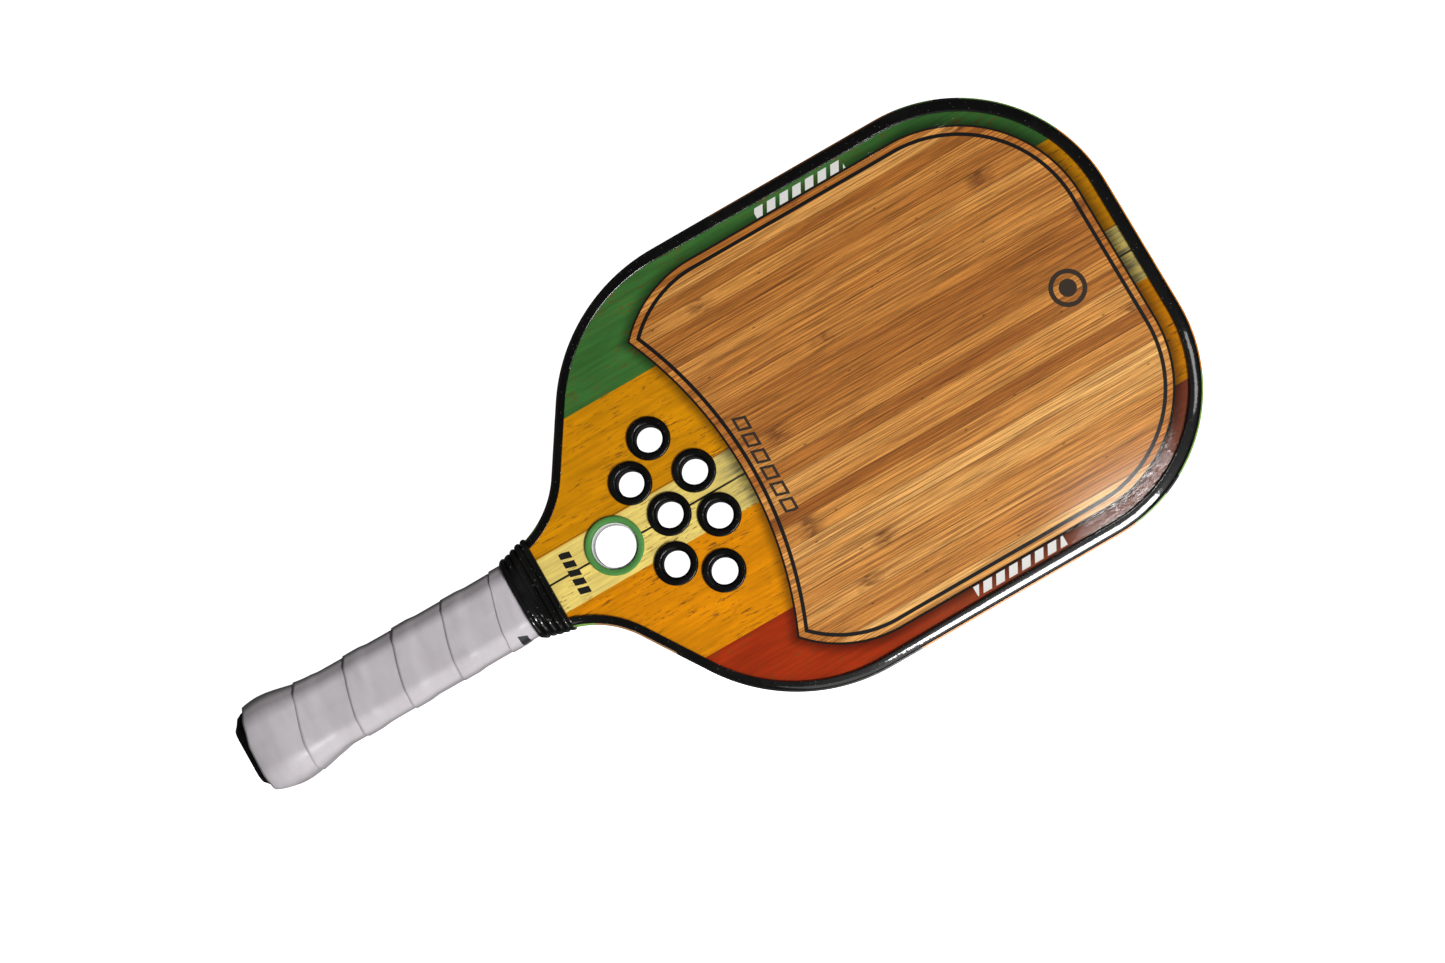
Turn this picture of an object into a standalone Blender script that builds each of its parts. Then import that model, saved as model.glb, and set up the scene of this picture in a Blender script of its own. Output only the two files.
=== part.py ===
"""A pickleball paddle, built as its separate pieces.

Frame: +Y runs from the butt to the head's top, +X to the right of the front face, +Z out of the front face.
The origin is under the middle of the paddle's box, at the height of the surface that it lies on.
Lengths along the paddle are measured from the butt's end, heights from the panel's middle plane.
"""

import math

import bmesh
import bpy
from mathutils import Vector

MM = 0.001

# Overall size
LENGTH = 406.4 * MM
HALF_WIDTH = 95.25 * MM
CLEARANCE = 0.3 * MM  # between any two pieces that touch

# Head outline: arcs joined by their tangents
TOP_RADIUS = 67.0 * MM
SHOULDER_RADIUS = 75.0 * MM
SHOULDER_AT = 237.1 * MM  # where the straight side ends and the shoulder starts to turn in
THROAT_ANGLE = math.radians(33)  # the straight throat, from the X axis
NECK_RADIUS = 40.0 * MM
NECK_HALF_WIDTH = 17.8 * MM
ARC_STEP = math.radians(9)
NECK_STEPS = 5

# Panel: core and bamboo face sheets, with a tongue that runs down the handle
CORE_HALF_THICKNESS = 4.6 * MM
FACE_THICKNESS = 0.6 * MM
PANEL_INSET = 2.8 * MM  # from the overall outline to the panel's own edge
TONGUE_HALF_WIDTH = 9.8 * MM
TONGUE_TOP = 131.3 * MM
TONGUE_END = 8.0 * MM

# Printed film over each bamboo sheet, and the window in it
FILM_THICKNESS = 0.3 * MM
FILM_START = 134.8 * MM
WINDOW_INSET = 12.0 * MM
WINDOW_SIDE_RADIUS = 49.0 * MM
WINDOW_SIDE_TURN = 248.0 * MM  # where the straight side starts to turn in
WINDOW_SILL = 225.7 * MM  # the top of its arched lower edge
WINDOW_SILL_RADIUS = 166.0 * MM

# Edge guard, a channel round the head, and the printed tape on its rim
GUARD_START = 137.0 * MM
GUARD_FLANGE = 6.0 * MM
GUARD_ROUND = 2.9 * MM
GUARD_SKIN = 0.7 * MM  # thickness of a flange
TAPE_THICKNESS = 0.4 * MM
TAPE_HALF_WIDTH = 4.6 * MM

# Holes through the throat, (x, distance from the butt)
SMALL_HOLES = [(0.0, 191.4), (18.2, 184.0), (-18.2, 184.0), (30.0, 199.0), (-30.0, 199.0), (10.0, 208.3), (-10.0, 208.3)]
GROMMET_BORE = 5.45 * MM
GROMMET_BARREL = 6.6 * MM
GROMMET_FLANGE = 8.75 * MM
GROMMET_MOUTH = 1.5 * MM  # how far the bore opens out at each face
FLANGE_THICKNESS = 0.8 * MM
EYELET_AT = 166.4 * MM
LINER_BORE = 8.6 * MM
LINER_WALL = 0.6 * MM
EYELET_BARREL = 10.2 * MM
EYELET_FLANGE = 11.8 * MM
TURN_STEPS = 24

# Handle sections are rounded rectangles: half width, half thickness, corner radius
SHELL_SECTION = (13.2 * MM, 11.4 * MM, 6.0 * MM)
SHELL_START = 6.0 * MM
SHELL_TAPER_START = 126.0 * MM
SHELL_TOP = 134.5 * MM
SHELL_LIP = 0.7 * MM  # what is left of the shell at its top end, over the face sheet
GRIP_WALL = 1.2 * MM
OVERGRIP_WALL = 0.85 * MM
GRIP_TOP = 125.0 * MM
COLLAR_SQUEEZE = 0.1 * MM  # how far the collar presses the overgrip in
CAP_TOP = 33.0 * MM
CAP_FLOOR = 5.7 * MM
# (distance from the butt, how far the flare stands out from the straight section)
FLARE = [(30.0, 0.6), (25.0, 1.7), (20.0, 2.9), (15.8, 3.5), (12.0, 3.5), (7.8, 2.6), (4.6, 0.6), (2.4, -1.6)]
CAP_END_INSET = 5.2 * MM  # from the straight section in to the cap's flat end

# Rubber collar
COLLAR_START = 123.6 * MM
COLLAR_TOP = 136.7 * MM
COLLAR_RIBS = 5
COLLAR_LOW_RIB = (17.7 * MM, 15.9 * MM)  # half width and half thickness at the lowest rib
COLLAR_HIGH_RIB = (20.3 * MM, 10.2 * MM)
RIB_DEPTH = 0.6 * MM
RIB_RINGS = 4

COLORS = {
    "core": (0.80, 0.78, 0.70, 1),
    "film": (0.85, 0.52, 0.05, 1),
    "bamboo": (0.60, 0.35, 0.15, 1),
    "guard": (0.01, 0.01, 0.01, 1),
    "tape": (0.80, 0.40, 0.05, 1),
    "grommet": (0.012, 0.012, 0.014, 1),
    "eyelet": (0.10, 0.38, 0.13, 1),
    "liner": (0.85, 0.85, 0.86, 1),
    "shell": (0.70, 0.62, 0.42, 1),
    "grip": (0.03, 0.03, 0.03, 1),
    "overgrip": (0.62, 0.60, 0.62, 1),
    "collar": (0.012, 0.012, 0.012, 1),
    "cap": (0.02, 0.02, 0.02, 1),
}
ROUGHNESS = {"guard": 0.35, "collar": 0.3, "eyelet": 0.4, "liner": 0.4, "film": 0.35, "tape": 0.35}


def material(kind):
    """The Principled material of one kind of piece, made once."""
    found = bpy.data.materials.get(kind)
    if found:
        return found
    made = bpy.data.materials.new(kind)
    made.use_nodes = True
    shader = made.node_tree.nodes["Principled BSDF"]
    shader.inputs["Base Color"].default_value = COLORS[kind]
    shader.inputs["Roughness"].default_value = ROUGHNESS.get(kind, 0.55)
    shader.inputs["Metallic"].default_value = 0.0
    return made


def place(obj, kind, paddle):
    """Puts an object in the scene, under the paddle's empty, with its material."""
    bpy.context.scene.collection.objects.link(obj)
    obj.data.materials.append(material(kind))
    obj.parent = paddle
    return obj


def mesh_object(name, bm, kind, paddle):
    """Turns a finished bmesh into an object, shaded smooth apart from its sharp edges."""
    bmesh.ops.recalc_face_normals(bm, faces=bm.faces)
    mesh = bpy.data.meshes.new(name)
    bm.to_mesh(mesh)
    bm.free()
    mesh.shade_smooth()
    mesh.set_sharp_from_angle(angle=math.radians(35))
    return place(bpy.data.objects.new(name, mesh), kind, paddle)


# ---------------------------------------------------------------- outlines


def arc(centre, radius, start, end, steps=0):
    """Points on a circle from one angle to another, both ends included."""
    steps = steps or max(2, round(abs(end - start) / ARC_STEP))
    angles = [start + (end - start) * i / steps for i in range(steps + 1)]
    return [Vector((centre[0] + radius * math.cos(a), centre[1] + radius * math.sin(a))) for a in angles]


def mirrored(points):
    """The same points on the other side of the paddle, in the opposite order."""
    return [Vector((-p.x, p.y)) for p in reversed(points)]


def head_half(inset, start, seam=0.0):
    """The head's right edge, an inset in from the overall outline, from the neck up to the middle of the top."""
    top = (HALF_WIDTH - TOP_RADIUS, LENGTH - TOP_RADIUS)
    shoulder = (HALF_WIDTH - SHOULDER_RADIUS, SHOULDER_AT)
    turn = math.pi / 2 - THROAT_ANGLE
    shoulder_end = Vector(shoulder) + SHOULDER_RADIUS * Vector((math.cos(turn), -math.sin(turn)))
    neck_x = NECK_HALF_WIDTH + NECK_RADIUS
    neck_end_x = neck_x - NECK_RADIUS * math.sin(THROAT_ANGLE)
    neck_end_y = shoulder_end.y - (shoulder_end.x - neck_end_x) * math.tan(THROAT_ANGLE)
    neck = (neck_x, neck_end_y - NECK_RADIUS * math.cos(THROAT_ANGLE))
    neck_radius = NECK_RADIUS + inset
    neck_start = math.pi - math.asin((start - neck[1]) / neck_radius)
    return (
        arc(neck, neck_radius, neck_start, math.pi / 2 + THROAT_ANGLE, steps=NECK_STEPS)
        + arc(shoulder, SHOULDER_RADIUS - inset, -turn, 0)
        + arc(top, TOP_RADIUS - inset, 0, math.pi / 2)
        + [Vector((seam, LENGTH - inset))]
    )


def panel_outline():
    """The outline that core and face sheets share: the head and the tongue down the handle."""
    right = [Vector((TONGUE_HALF_WIDTH, TONGUE_END)), Vector((TONGUE_HALF_WIDTH, TONGUE_TOP))]
    right += head_half(PANEL_INSET, TONGUE_TOP)
    return right + mirrored(right[:-1])


def circles_meet(first, first_radius, second, second_radius):
    """Where two circles cross, to the right of the line from the first centre to the second."""
    between = Vector(second) - Vector(first)
    distance = between.length
    along = (distance**2 + first_radius**2 - second_radius**2) / (2 * distance)
    across = math.sqrt(first_radius**2 - along**2)
    direction = between.normalized()
    return Vector(first) + direction * along + Vector((direction.y, -direction.x)) * across


def film_outline():
    """The film covers the panel down to the rubber collar."""
    right = head_half(PANEL_INSET, FILM_START)
    return right + mirrored(right[:-1])


def window_outline():
    """The film's window: the head's curve at the top, turned-in sides and an arched lower edge."""
    side = (HALF_WIDTH - WINDOW_INSET - WINDOW_SIDE_RADIUS, WINDOW_SIDE_TURN)
    sill = (0.0, WINDOW_SILL - WINDOW_SILL_RADIUS)
    top = (HALF_WIDTH - TOP_RADIUS, LENGTH - TOP_RADIUS)
    corner = circles_meet(sill, WINDOW_SILL_RADIUS, side, WINDOW_SIDE_RADIUS)
    sill_angle = math.atan2(corner.y - sill[1], corner.x)
    side_angle = math.atan2(corner.y - side[1], corner.x - side[0])
    right = arc(sill, WINDOW_SILL_RADIUS, math.pi / 2, sill_angle, steps=6)[:-1]
    right += arc(side, WINDOW_SIDE_RADIUS, side_angle, 0)
    right += arc(top, TOP_RADIUS - WINDOW_INSET, 0, math.pi / 2)
    return right + mirrored(right)[:-1]


def circle(centre, radius):
    """A hole's outline."""
    angles = [math.tau * i / TURN_STEPS for i in range(TURN_STEPS)]
    return [Vector((centre[0] + radius * math.cos(a), centre[1] + radius * math.sin(a))) for a in angles]


def hole_places():
    """Where the small holes go, in the paddle's own lengths."""
    return [(x * MM, y * MM) for x, y in SMALL_HOLES]


def panel_holes():
    """The outlines of all the holes that core and face sheets share."""
    small = [circle(at, GROMMET_BARREL + CLEARANCE) for at in hole_places()]
    return small + [circle((0, EYELET_AT), EYELET_BARREL + CLEARANCE)]


# ---------------------------------------------------------------- ways to make a solid


def plate(name, outlines, low, high, kind, paddle):
    """A flat plate between two heights: a filled 2D curve, where outlines inside the first are holes."""
    curve = bpy.data.curves.new(name, "CURVE")
    curve.dimensions = "2D"
    curve.fill_mode = "BOTH"
    curve.extrude = (high - low) / 2
    for outline in outlines:
        spline = curve.splines.new("POLY")
        spline.points.add(len(outline) - 1)
        for point, at in zip(spline.points, outline):
            point.co = (at.x, at.y, 0, 1)
        spline.use_cyclic_u = True
    made = place(bpy.data.objects.new(name, curve), kind, paddle)
    made.location.z = (low + high) / 2
    return made


def loft(name, rings, kind, paddle, closed=False):
    """A solid through rings of points. Closed joins the last ring to the first, as a sleeve's inside does."""
    bm = bmesh.new()
    made = [[bm.verts.new(p) for p in ring] for ring in rings]
    pairs = list(zip(made, made[1:])) + ([(made[-1], made[0])] if closed else [])
    for low, high in pairs:
        for i in range(len(low)):
            bm.faces.new((low[i - 1], low[i], high[i], high[i - 1]))
    if not closed:
        bm.faces.new(made[0])
        bm.faces.new(made[-1])
    return mesh_object(name, bm, kind, paddle)


def section(y, half_width, half_thickness, radius, steps=4):
    """A rounded rectangle across the handle, as one ring of points."""
    ring = []
    for quarter in range(4):
        side = (1, 1) if quarter == 0 else (-1, 1) if quarter == 1 else (-1, -1) if quarter == 2 else (1, -1)
        cx, cz = side[0] * (half_width - radius), side[1] * (half_thickness - radius)
        for step in range(steps + 1):
            a = (quarter + step / steps) * math.pi / 2
            ring.append(Vector((cx + radius * math.cos(a), y, cz + radius * math.sin(a))))
    return ring


def grown(y, grow, base=SHELL_SECTION):
    """The handle's section at one place, grown outwards all round."""
    return section(y, base[0] + grow, base[1] + grow, base[2] + grow)


def turned(name, profile, at, kind, paddle):
    """A ring turned about its own upright axis from a closed profile of (radius, height)."""
    bm = bmesh.new()
    corners = [bm.verts.new((r, 0, z)) for r, z in profile]
    edges = [bm.edges.new((corners[i - 1], corners[i])) for i in range(len(corners))]
    bmesh.ops.spin(
        bm, geom=corners + edges, cent=(0, 0, 0), axis=(0, 0, 1), angle=math.tau, steps=TURN_STEPS, use_merge=True
    )
    made = mesh_object(name, bm, kind, paddle)
    made.location = (at[0], at[1], 0)
    return made


# ---------------------------------------------------------------- head


def face_height():
    """The outside of a face sheet, over the middle plane."""
    return CORE_HALF_THICKNESS + CLEARANCE + FACE_THICKNESS


def film_height():
    """The outside of a printed film."""
    return face_height() + CLEARANCE + FILM_THICKNESS


def build_panel(paddle):
    """Core, bamboo face sheets, and the printed films over them."""
    holes = panel_holes()
    plate("core_panel", [panel_outline()] + holes, -CORE_HALF_THICKNESS, CORE_HALF_THICKNESS, "core", paddle)
    for side, up in (("front", 1), ("back", -1)):
        heights = sorted(up * z for z in (face_height() - FACE_THICKNESS, face_height()))
        plate(f"face_sheet_{side}", [panel_outline()] + holes, *heights, "bamboo", paddle)
        heights = sorted(up * z for z in (film_height() - FILM_THICKNESS, film_height()))
        plate(f"printed_film_{side}", [film_outline(), window_outline()] + holes, *heights, "film", paddle)


def guard_profile():
    """The guard's channel section: (inset from the overall outline, height), the round shoulders as arcs."""
    rim = TAPE_THICKNESS + CLEARANCE
    inside_height = film_height() + CLEARANCE
    outside_height = inside_height + GUARD_SKIN
    centre = (rim + GUARD_ROUND, outside_height - GUARD_ROUND)
    upper = []
    for step in range(4):
        a = math.pi / 2 * (1 + step / 3)
        upper.append((centre[0] + GUARD_ROUND * math.cos(a), centre[1] + GUARD_ROUND * math.sin(a)))
    outside = [(GUARD_FLANGE, outside_height)] + upper
    inside = [(GUARD_FLANGE, inside_height), (PANEL_INSET - CLEARANCE, inside_height)]
    lower_outside = [(inset, -height) for inset, height in reversed(outside)]
    lower_inside = [(inset, -height) for inset, height in inside]
    return outside + lower_outside + lower_inside + inside[::-1]


def tape_profile():
    """The printed tape's flat section on the guard's rim."""
    flat = [(0.0, TAPE_HALF_WIDTH), (TAPE_THICKNESS, TAPE_HALF_WIDTH)]
    return flat + [(inset, -height) for inset, height in reversed(flat)]


def swept(name, profile, side, kind, paddle):
    """A profile carried along one half of the head's edge. Side is 1 for the right half and -1 for the left."""
    paths = [head_half(inset, GUARD_START, seam=CLEARANCE / 2) for inset, _ in profile]
    rings = [
        [Vector((side * path[i].x, path[i].y, height)) for path, (_, height) in zip(paths, profile)]
        for i in range(len(paths[0]))
    ]
    return loft(name, rings, kind, paddle)


def build_edge(paddle):
    """Both halves of the edge guard, which meet at the top of the head, and their printed tapes."""
    for half, side in (("left", -1), ("right", 1)):
        swept(f"edge_guard_{half}", guard_profile(), side, "guard", paddle)
        swept(f"edge_tape_{half}", tape_profile(), side, "tape", paddle)


def build_grommets(paddle):
    """The black grommets, and the large eyelet with its white liner."""
    seat = film_height() + CLEARANCE
    top = seat + FLANGE_THICKNESS
    half = [
        (GROMMET_BORE, top - GROMMET_MOUTH),
        (GROMMET_BORE + GROMMET_MOUTH * 0.3, top - GROMMET_MOUTH * 0.3),
        (GROMMET_BORE + GROMMET_MOUTH, top),
        (GROMMET_FLANGE, top),
        (GROMMET_FLANGE, seat),
        (GROMMET_BARREL, seat),
    ]
    profile = half + [(r, -z) for r, z in reversed(half)]
    for number, at in enumerate(hole_places(), start=1):
        turned(f"grommet_{number}", profile, at, "grommet", paddle)
    inner = LINER_BORE + LINER_WALL + CLEARANCE
    half = [(inner, top), (EYELET_FLANGE, top), (EYELET_FLANGE, seat), (EYELET_BARREL, seat)]
    turned("throat_eyelet", half + [(r, -z) for r, z in reversed(half)], (0, EYELET_AT), "eyelet", paddle)
    half = [(LINER_BORE, top), (LINER_BORE + LINER_WALL, top)]
    turned("eyelet_liner", half + [(r, -z) for r, z in reversed(half)], (0, EYELET_AT), "liner", paddle)


# ---------------------------------------------------------------- handle


def cutter(name, corners, half_width, paddle):
    """A prism across the handle, through a list of (y, z) corners. It cuts and isn't a piece."""
    bm = bmesh.new()
    base = bm.faces.new([bm.verts.new((-half_width, y, z)) for y, z in corners])
    moved = bmesh.ops.extrude_face_region(bm, geom=[base])["geom"]
    bmesh.ops.translate(bm, vec=(2 * half_width, 0, 0), verts=[v for v in moved if isinstance(v, bmesh.types.BMVert)])
    made = mesh_object(name, bm, "shell", paddle)
    made.hide_render = True
    made.display_type = "WIRE"
    return made


def cut(obj, tool):
    """Takes the cutter's space out of an object."""
    modifier = obj.modifiers.new(tool.name, "BOOLEAN")
    modifier.operation = "DIFFERENCE"
    modifier.solver = "EXACT"
    modifier.object = tool


def build_shells(paddle):
    """Two foam half shells round the tongue. Each ends in a lip that thins out over the face sheet."""
    half_width, half_thickness, radius = SHELL_SECTION
    pocket_half, pocket_height = TONGUE_HALF_WIDTH + CLEARANCE, face_height() + CLEARANCE
    parting = CLEARANCE / 2
    outside = [p for p in section(0, half_width, half_thickness, radius) if p.z > 0]
    profile = [(half_width, parting)] + [(p.x, p.z) for p in outside] + [(-half_width, parting)]
    profile += [(-pocket_half, parting), (-pocket_half, pocket_height), (pocket_half, pocket_height), (pocket_half, parting)]
    for side, up in (("front", 1), ("back", -1)):
        rings = [[Vector((x, y, up * z)) for x, z in profile] for y in (SHELL_START, SHELL_TOP)]
        shell = loft(f"handle_shell_{side}", rings, "shell", paddle)
        beyond = SHELL_TOP + 10 * MM
        shoulder_at = TONGUE_TOP - CLEARANCE
        shoulder = [(shoulder_at, -parting * up), (beyond, -parting * up)]
        shoulder += [(beyond, up * pocket_height), (shoulder_at, up * pocket_height)]
        cut(shell, cutter(f"shoulder_cutter_{side}", shoulder, 2 * half_width, paddle))
        lip = pocket_height + SHELL_LIP
        slope = (half_thickness - lip) / (SHELL_TOP - SHELL_TAPER_START)
        taper = [(SHELL_TAPER_START, half_thickness), (beyond, half_thickness - slope * (beyond - SHELL_TAPER_START))]
        taper += [(beyond, 2 * half_thickness), (SHELL_TAPER_START, 2 * half_thickness)]
        taper = [(y, up * z) for y, z in taper]
        cut(shell, cutter(f"taper_cutter_{side}", taper, 2 * half_width, paddle))


def flare(clearance):
    """Rings up the flared butt, grown outwards by a clearance, from the end to the straight section."""
    return [grown(y * MM, clearance + stands * MM) for y, stands in reversed(FLARE)]


def build_butt_cap(paddle):
    """A hollow plastic cap over the ends of the shells, flared under the hand."""
    wall = CLEARANCE + GRIP_WALL
    outside = [grown(0, wall - CAP_END_INSET)] + flare(wall) + [grown(CAP_TOP - CLEARANCE, wall)]
    inside = [grown(CAP_TOP - CLEARANCE, CLEARANCE), grown(CAP_FLOOR, CLEARANCE)]
    loft("butt_cap", outside + inside, "cap", paddle)


def grip_stand():
    """How far the overgrip's outside stands off the shells."""
    return CLEARANCE + GRIP_WALL + CLEARANCE + OVERGRIP_WALL


def sleeve(name, outside, inside, kind, paddle):
    """A tube: rings up the outside, then down the inside."""
    return loft(name, outside + inside[::-1], kind, paddle, closed=True)


def build_grips(paddle):
    """The cushion grip, and the overgrip over it and over the cap."""
    wall = CLEARANCE + GRIP_WALL
    ends = (CAP_TOP, GRIP_TOP)
    sleeve("base_grip", [grown(y, wall) for y in ends], [grown(y, CLEARANCE) for y in ends], "grip", paddle)
    inner, outer = wall + CLEARANCE, grip_stand()
    straight = (CAP_TOP + 2 * MM, COLLAR_START - CLEARANCE)
    outside = flare(outer) + [grown(y, outer) for y in straight] + [grown(GRIP_TOP, outer - COLLAR_SQUEEZE)]
    inside = flare(inner) + [grown(y, inner) for y in (straight[0], GRIP_TOP)]
    sleeve("overgrip", outside, inside, "overgrip", paddle)


def build_collar(paddle):
    """A ribbed rubber sleeve that closes the top of the handle against the head."""
    pitch = (COLLAR_TOP - COLLAR_START) / COLLAR_RIBS
    outside = []
    for ring in range(COLLAR_RIBS * RIB_RINGS + 1):
        along = ring / RIB_RINGS
        share = min(1.0, max(0.0, (along - 0.5) / (COLLAR_RIBS - 1)))
        sink = RIB_DEPTH * (1 - math.sqrt(math.sin(math.pi * (along % 1))))
        half_width = COLLAR_LOW_RIB[0] + (COLLAR_HIGH_RIB[0] - COLLAR_LOW_RIB[0]) * share - sink
        half_thickness = COLLAR_LOW_RIB[1] + (COLLAR_HIGH_RIB[1] - COLLAR_LOW_RIB[1]) * share - sink
        outside.append(section(COLLAR_START + along * pitch, half_width, half_thickness, (8.8 - 3.8 * share) * MM))
    over_grip = grip_stand() + CLEARANCE
    step = GRIP_TOP + CLEARANCE
    neck_top = film_height() + 1.3 * CLEARANCE
    inside = [
        grown(COLLAR_START, over_grip),
        grown(step, over_grip),
        section(step + CLEARANCE, 14.0 * MM, 11.8 * MM, 6.2 * MM),
        section(TONGUE_TOP - CLEARANCE, 16.1 * MM, 9.4 * MM, 2.5 * MM),
        section(COLLAR_TOP, 17.2 * MM, neck_top, 0.6 * MM),
    ]
    sleeve("rubber_collar", outside, inside, "collar", paddle)


def main():
    for obj in list(bpy.data.objects):
        bpy.data.objects.remove(obj)
    paddle = bpy.data.objects.new("paddle", None)
    bpy.context.scene.collection.objects.link(paddle)
    lying_height = SHELL_SECTION[1] + grip_stand() + max(stands for _, stands in FLARE) * MM
    paddle.location = (0, -LENGTH / 2, lying_height)
    build_panel(paddle)
    build_edge(paddle)
    build_grommets(paddle)
    build_shells(paddle)
    build_butt_cap(paddle)
    build_grips(paddle)
    build_collar(paddle)


main()
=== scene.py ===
"""Looks of a pickleball paddle with a bamboo face, built round its CAD frame.

+Y runs from the butt to the top of the head, +X to the right of the front face, +Z out of the front face.
"along" is a distance from the butt's end and "inset" is a distance in from the head's overall outline.
"""

import math

import bmesh
import bpy
from mathutils import Matrix, Vector, noise


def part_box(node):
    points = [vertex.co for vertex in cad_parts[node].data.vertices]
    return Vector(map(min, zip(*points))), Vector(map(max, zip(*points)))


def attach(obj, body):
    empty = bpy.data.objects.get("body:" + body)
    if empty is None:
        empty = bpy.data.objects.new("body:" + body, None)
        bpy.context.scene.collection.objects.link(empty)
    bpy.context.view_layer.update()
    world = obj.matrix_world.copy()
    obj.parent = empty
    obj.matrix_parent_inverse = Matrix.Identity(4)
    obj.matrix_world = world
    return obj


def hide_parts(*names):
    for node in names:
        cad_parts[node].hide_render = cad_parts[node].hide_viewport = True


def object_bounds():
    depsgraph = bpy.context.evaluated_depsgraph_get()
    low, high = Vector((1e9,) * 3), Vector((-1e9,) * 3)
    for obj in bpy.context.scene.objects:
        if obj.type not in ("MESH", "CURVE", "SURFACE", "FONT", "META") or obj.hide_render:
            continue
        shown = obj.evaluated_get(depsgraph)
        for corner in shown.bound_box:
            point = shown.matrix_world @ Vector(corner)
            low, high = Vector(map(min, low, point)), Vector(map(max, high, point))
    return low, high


MM = 0.001

# Sockets of a colour Mix node, which share their names with its number sockets
COLOR_A, COLOR_B, COLOR_MIXED = 6, 7, 2

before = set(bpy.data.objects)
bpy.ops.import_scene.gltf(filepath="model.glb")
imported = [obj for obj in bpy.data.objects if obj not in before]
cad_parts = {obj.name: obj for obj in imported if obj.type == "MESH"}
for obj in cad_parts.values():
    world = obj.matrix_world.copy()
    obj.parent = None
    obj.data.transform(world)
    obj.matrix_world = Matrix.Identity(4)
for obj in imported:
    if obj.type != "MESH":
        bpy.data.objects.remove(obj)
cad_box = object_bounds()

BUTT = cad_box[0][1]
LENGTH = cad_box[1][1] - cad_box[0][1]
HALF_WIDTH = cad_box[1][0]


def middle(node):
    """The middle of a CAD node's box."""
    low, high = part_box(node)
    return (Vector(low) + Vector(high)) / 2


MID_HEIGHT = middle("core_panel").z
FACE_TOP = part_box("face_sheet_front")[1][2] - MID_HEIGHT
GUARD_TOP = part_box("edge_guard_left")[1][2] - MID_HEIGHT

# Head outline: arcs joined by their tangents
TOP_RADIUS = 67.0 * MM
SHOULDER_RADIUS = 75.0 * MM
SHOULDER_AT = 237.1 * MM
THROAT_ANGLE = math.radians(33)
NECK_RADIUS = 40.0 * MM
NECK_HALF_WIDTH = 17.8 * MM
FILM_INSET = 2.5 * MM
FILM_THICKNESS = 0.25 * MM
GUARD_WALL = 2.4 * MM  # inset of the guard's inner wall, at the film's edge
GROMMET_CUT = 6.9 * MM  # radii of the film's holes
EYELET_CUT = 10.5 * MM

# Where the film's stripes meet, across from the middle
GREEN_TO_YELLOW = -53.7 * MM
YELLOW_TO_CREAM = -11.0 * MM
CREAM_TO_YELLOW = 13.2 * MM
YELLOW_TO_RED = 55.6 * MM

# The film's window, and the lines printed round it
WINDOW_INSET = 12.0 * MM
WINDOW_SIDE_RADIUS = 49.0 * MM
WINDOW_SIDE_TURN = 248.0 * MM
WINDOW_SILL = 225.7 * MM
WINDOW_SILL_RADIUS = 166.0 * MM

# Handle
HANDLE_CORE = (13.2 * MM, 11.4 * MM, 6.0 * MM)  # half width, half thickness and corner radius
BEVEL_SOFTNESS = (0.5, 0.05)  # radii where a bevel meets its two faces, as shares of the corner's radius
GRIP_TOP = 125.0 * MM
COLLAR_START = 123.4 * MM
COLLAR_TOP = 136.9 * MM


# ---------------------------------------------------------------- making pieces


def into_scene(name, mesh, material, node):
    """Puts a mesh in the scene as a piece that stands for a CAD node."""
    mesh.materials.clear()
    mesh.materials.append(material)
    made = bpy.data.objects.new(name, mesh)
    bpy.context.scene.collection.objects.link(made)
    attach(made, "root")
    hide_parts(node)
    return made


def piece(name, bm, material, node, sharp=35):
    """Finishes a bmesh: faces outwards, smooth apart from its sharp edges."""
    bmesh.ops.remove_doubles(bm, verts=bm.verts, dist=0.002 * MM)
    bmesh.ops.recalc_face_normals(bm, faces=bm.faces)
    mesh = bpy.data.meshes.new(name)
    bm.to_mesh(mesh)
    bm.free()
    mesh.shade_smooth()
    mesh.set_sharp_from_angle(angle=math.radians(sharp))
    return into_scene(name, mesh, material, node)


def head_centres():
    """Centres of the head's arcs, and the straight throat's two ends on the overall outline."""
    top = Vector((HALF_WIDTH - TOP_RADIUS, BUTT + LENGTH - TOP_RADIUS, 0))
    shoulder = Vector((HALF_WIDTH - SHOULDER_RADIUS, BUTT + SHOULDER_AT, 0))
    turn = math.pi / 2 - THROAT_ANGLE
    throat_top = shoulder + SHOULDER_RADIUS * Vector((math.cos(turn), -math.sin(turn), 0))
    neck_x = NECK_HALF_WIDTH + NECK_RADIUS
    low_x = neck_x - NECK_RADIUS * math.sin(THROAT_ANGLE)
    low_y = throat_top.y - (throat_top.x - low_x) * math.tan(THROAT_ANGLE)
    neck = Vector((neck_x, low_y - NECK_RADIUS * math.cos(THROAT_ANGLE), 0))
    return top, shoulder, neck, throat_top, Vector((low_x, low_y, 0))


def in_order(bm):
    """Puts the corners and faces that a spin has made in the same order each time, by place."""
    corners = sorted(bm.verts, key=lambda vert: vert.co.to_tuple())
    corner_rank = {vert: rank for rank, vert in enumerate(corners)}
    bm.verts.sort(key=corner_rank.get)
    faces = sorted(bm.faces, key=lambda face: face.calc_center_median().to_tuple())
    face_rank = {face: rank for rank, face in enumerate(faces)}
    bm.faces.sort(key=face_rank.get)
    return bm


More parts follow.
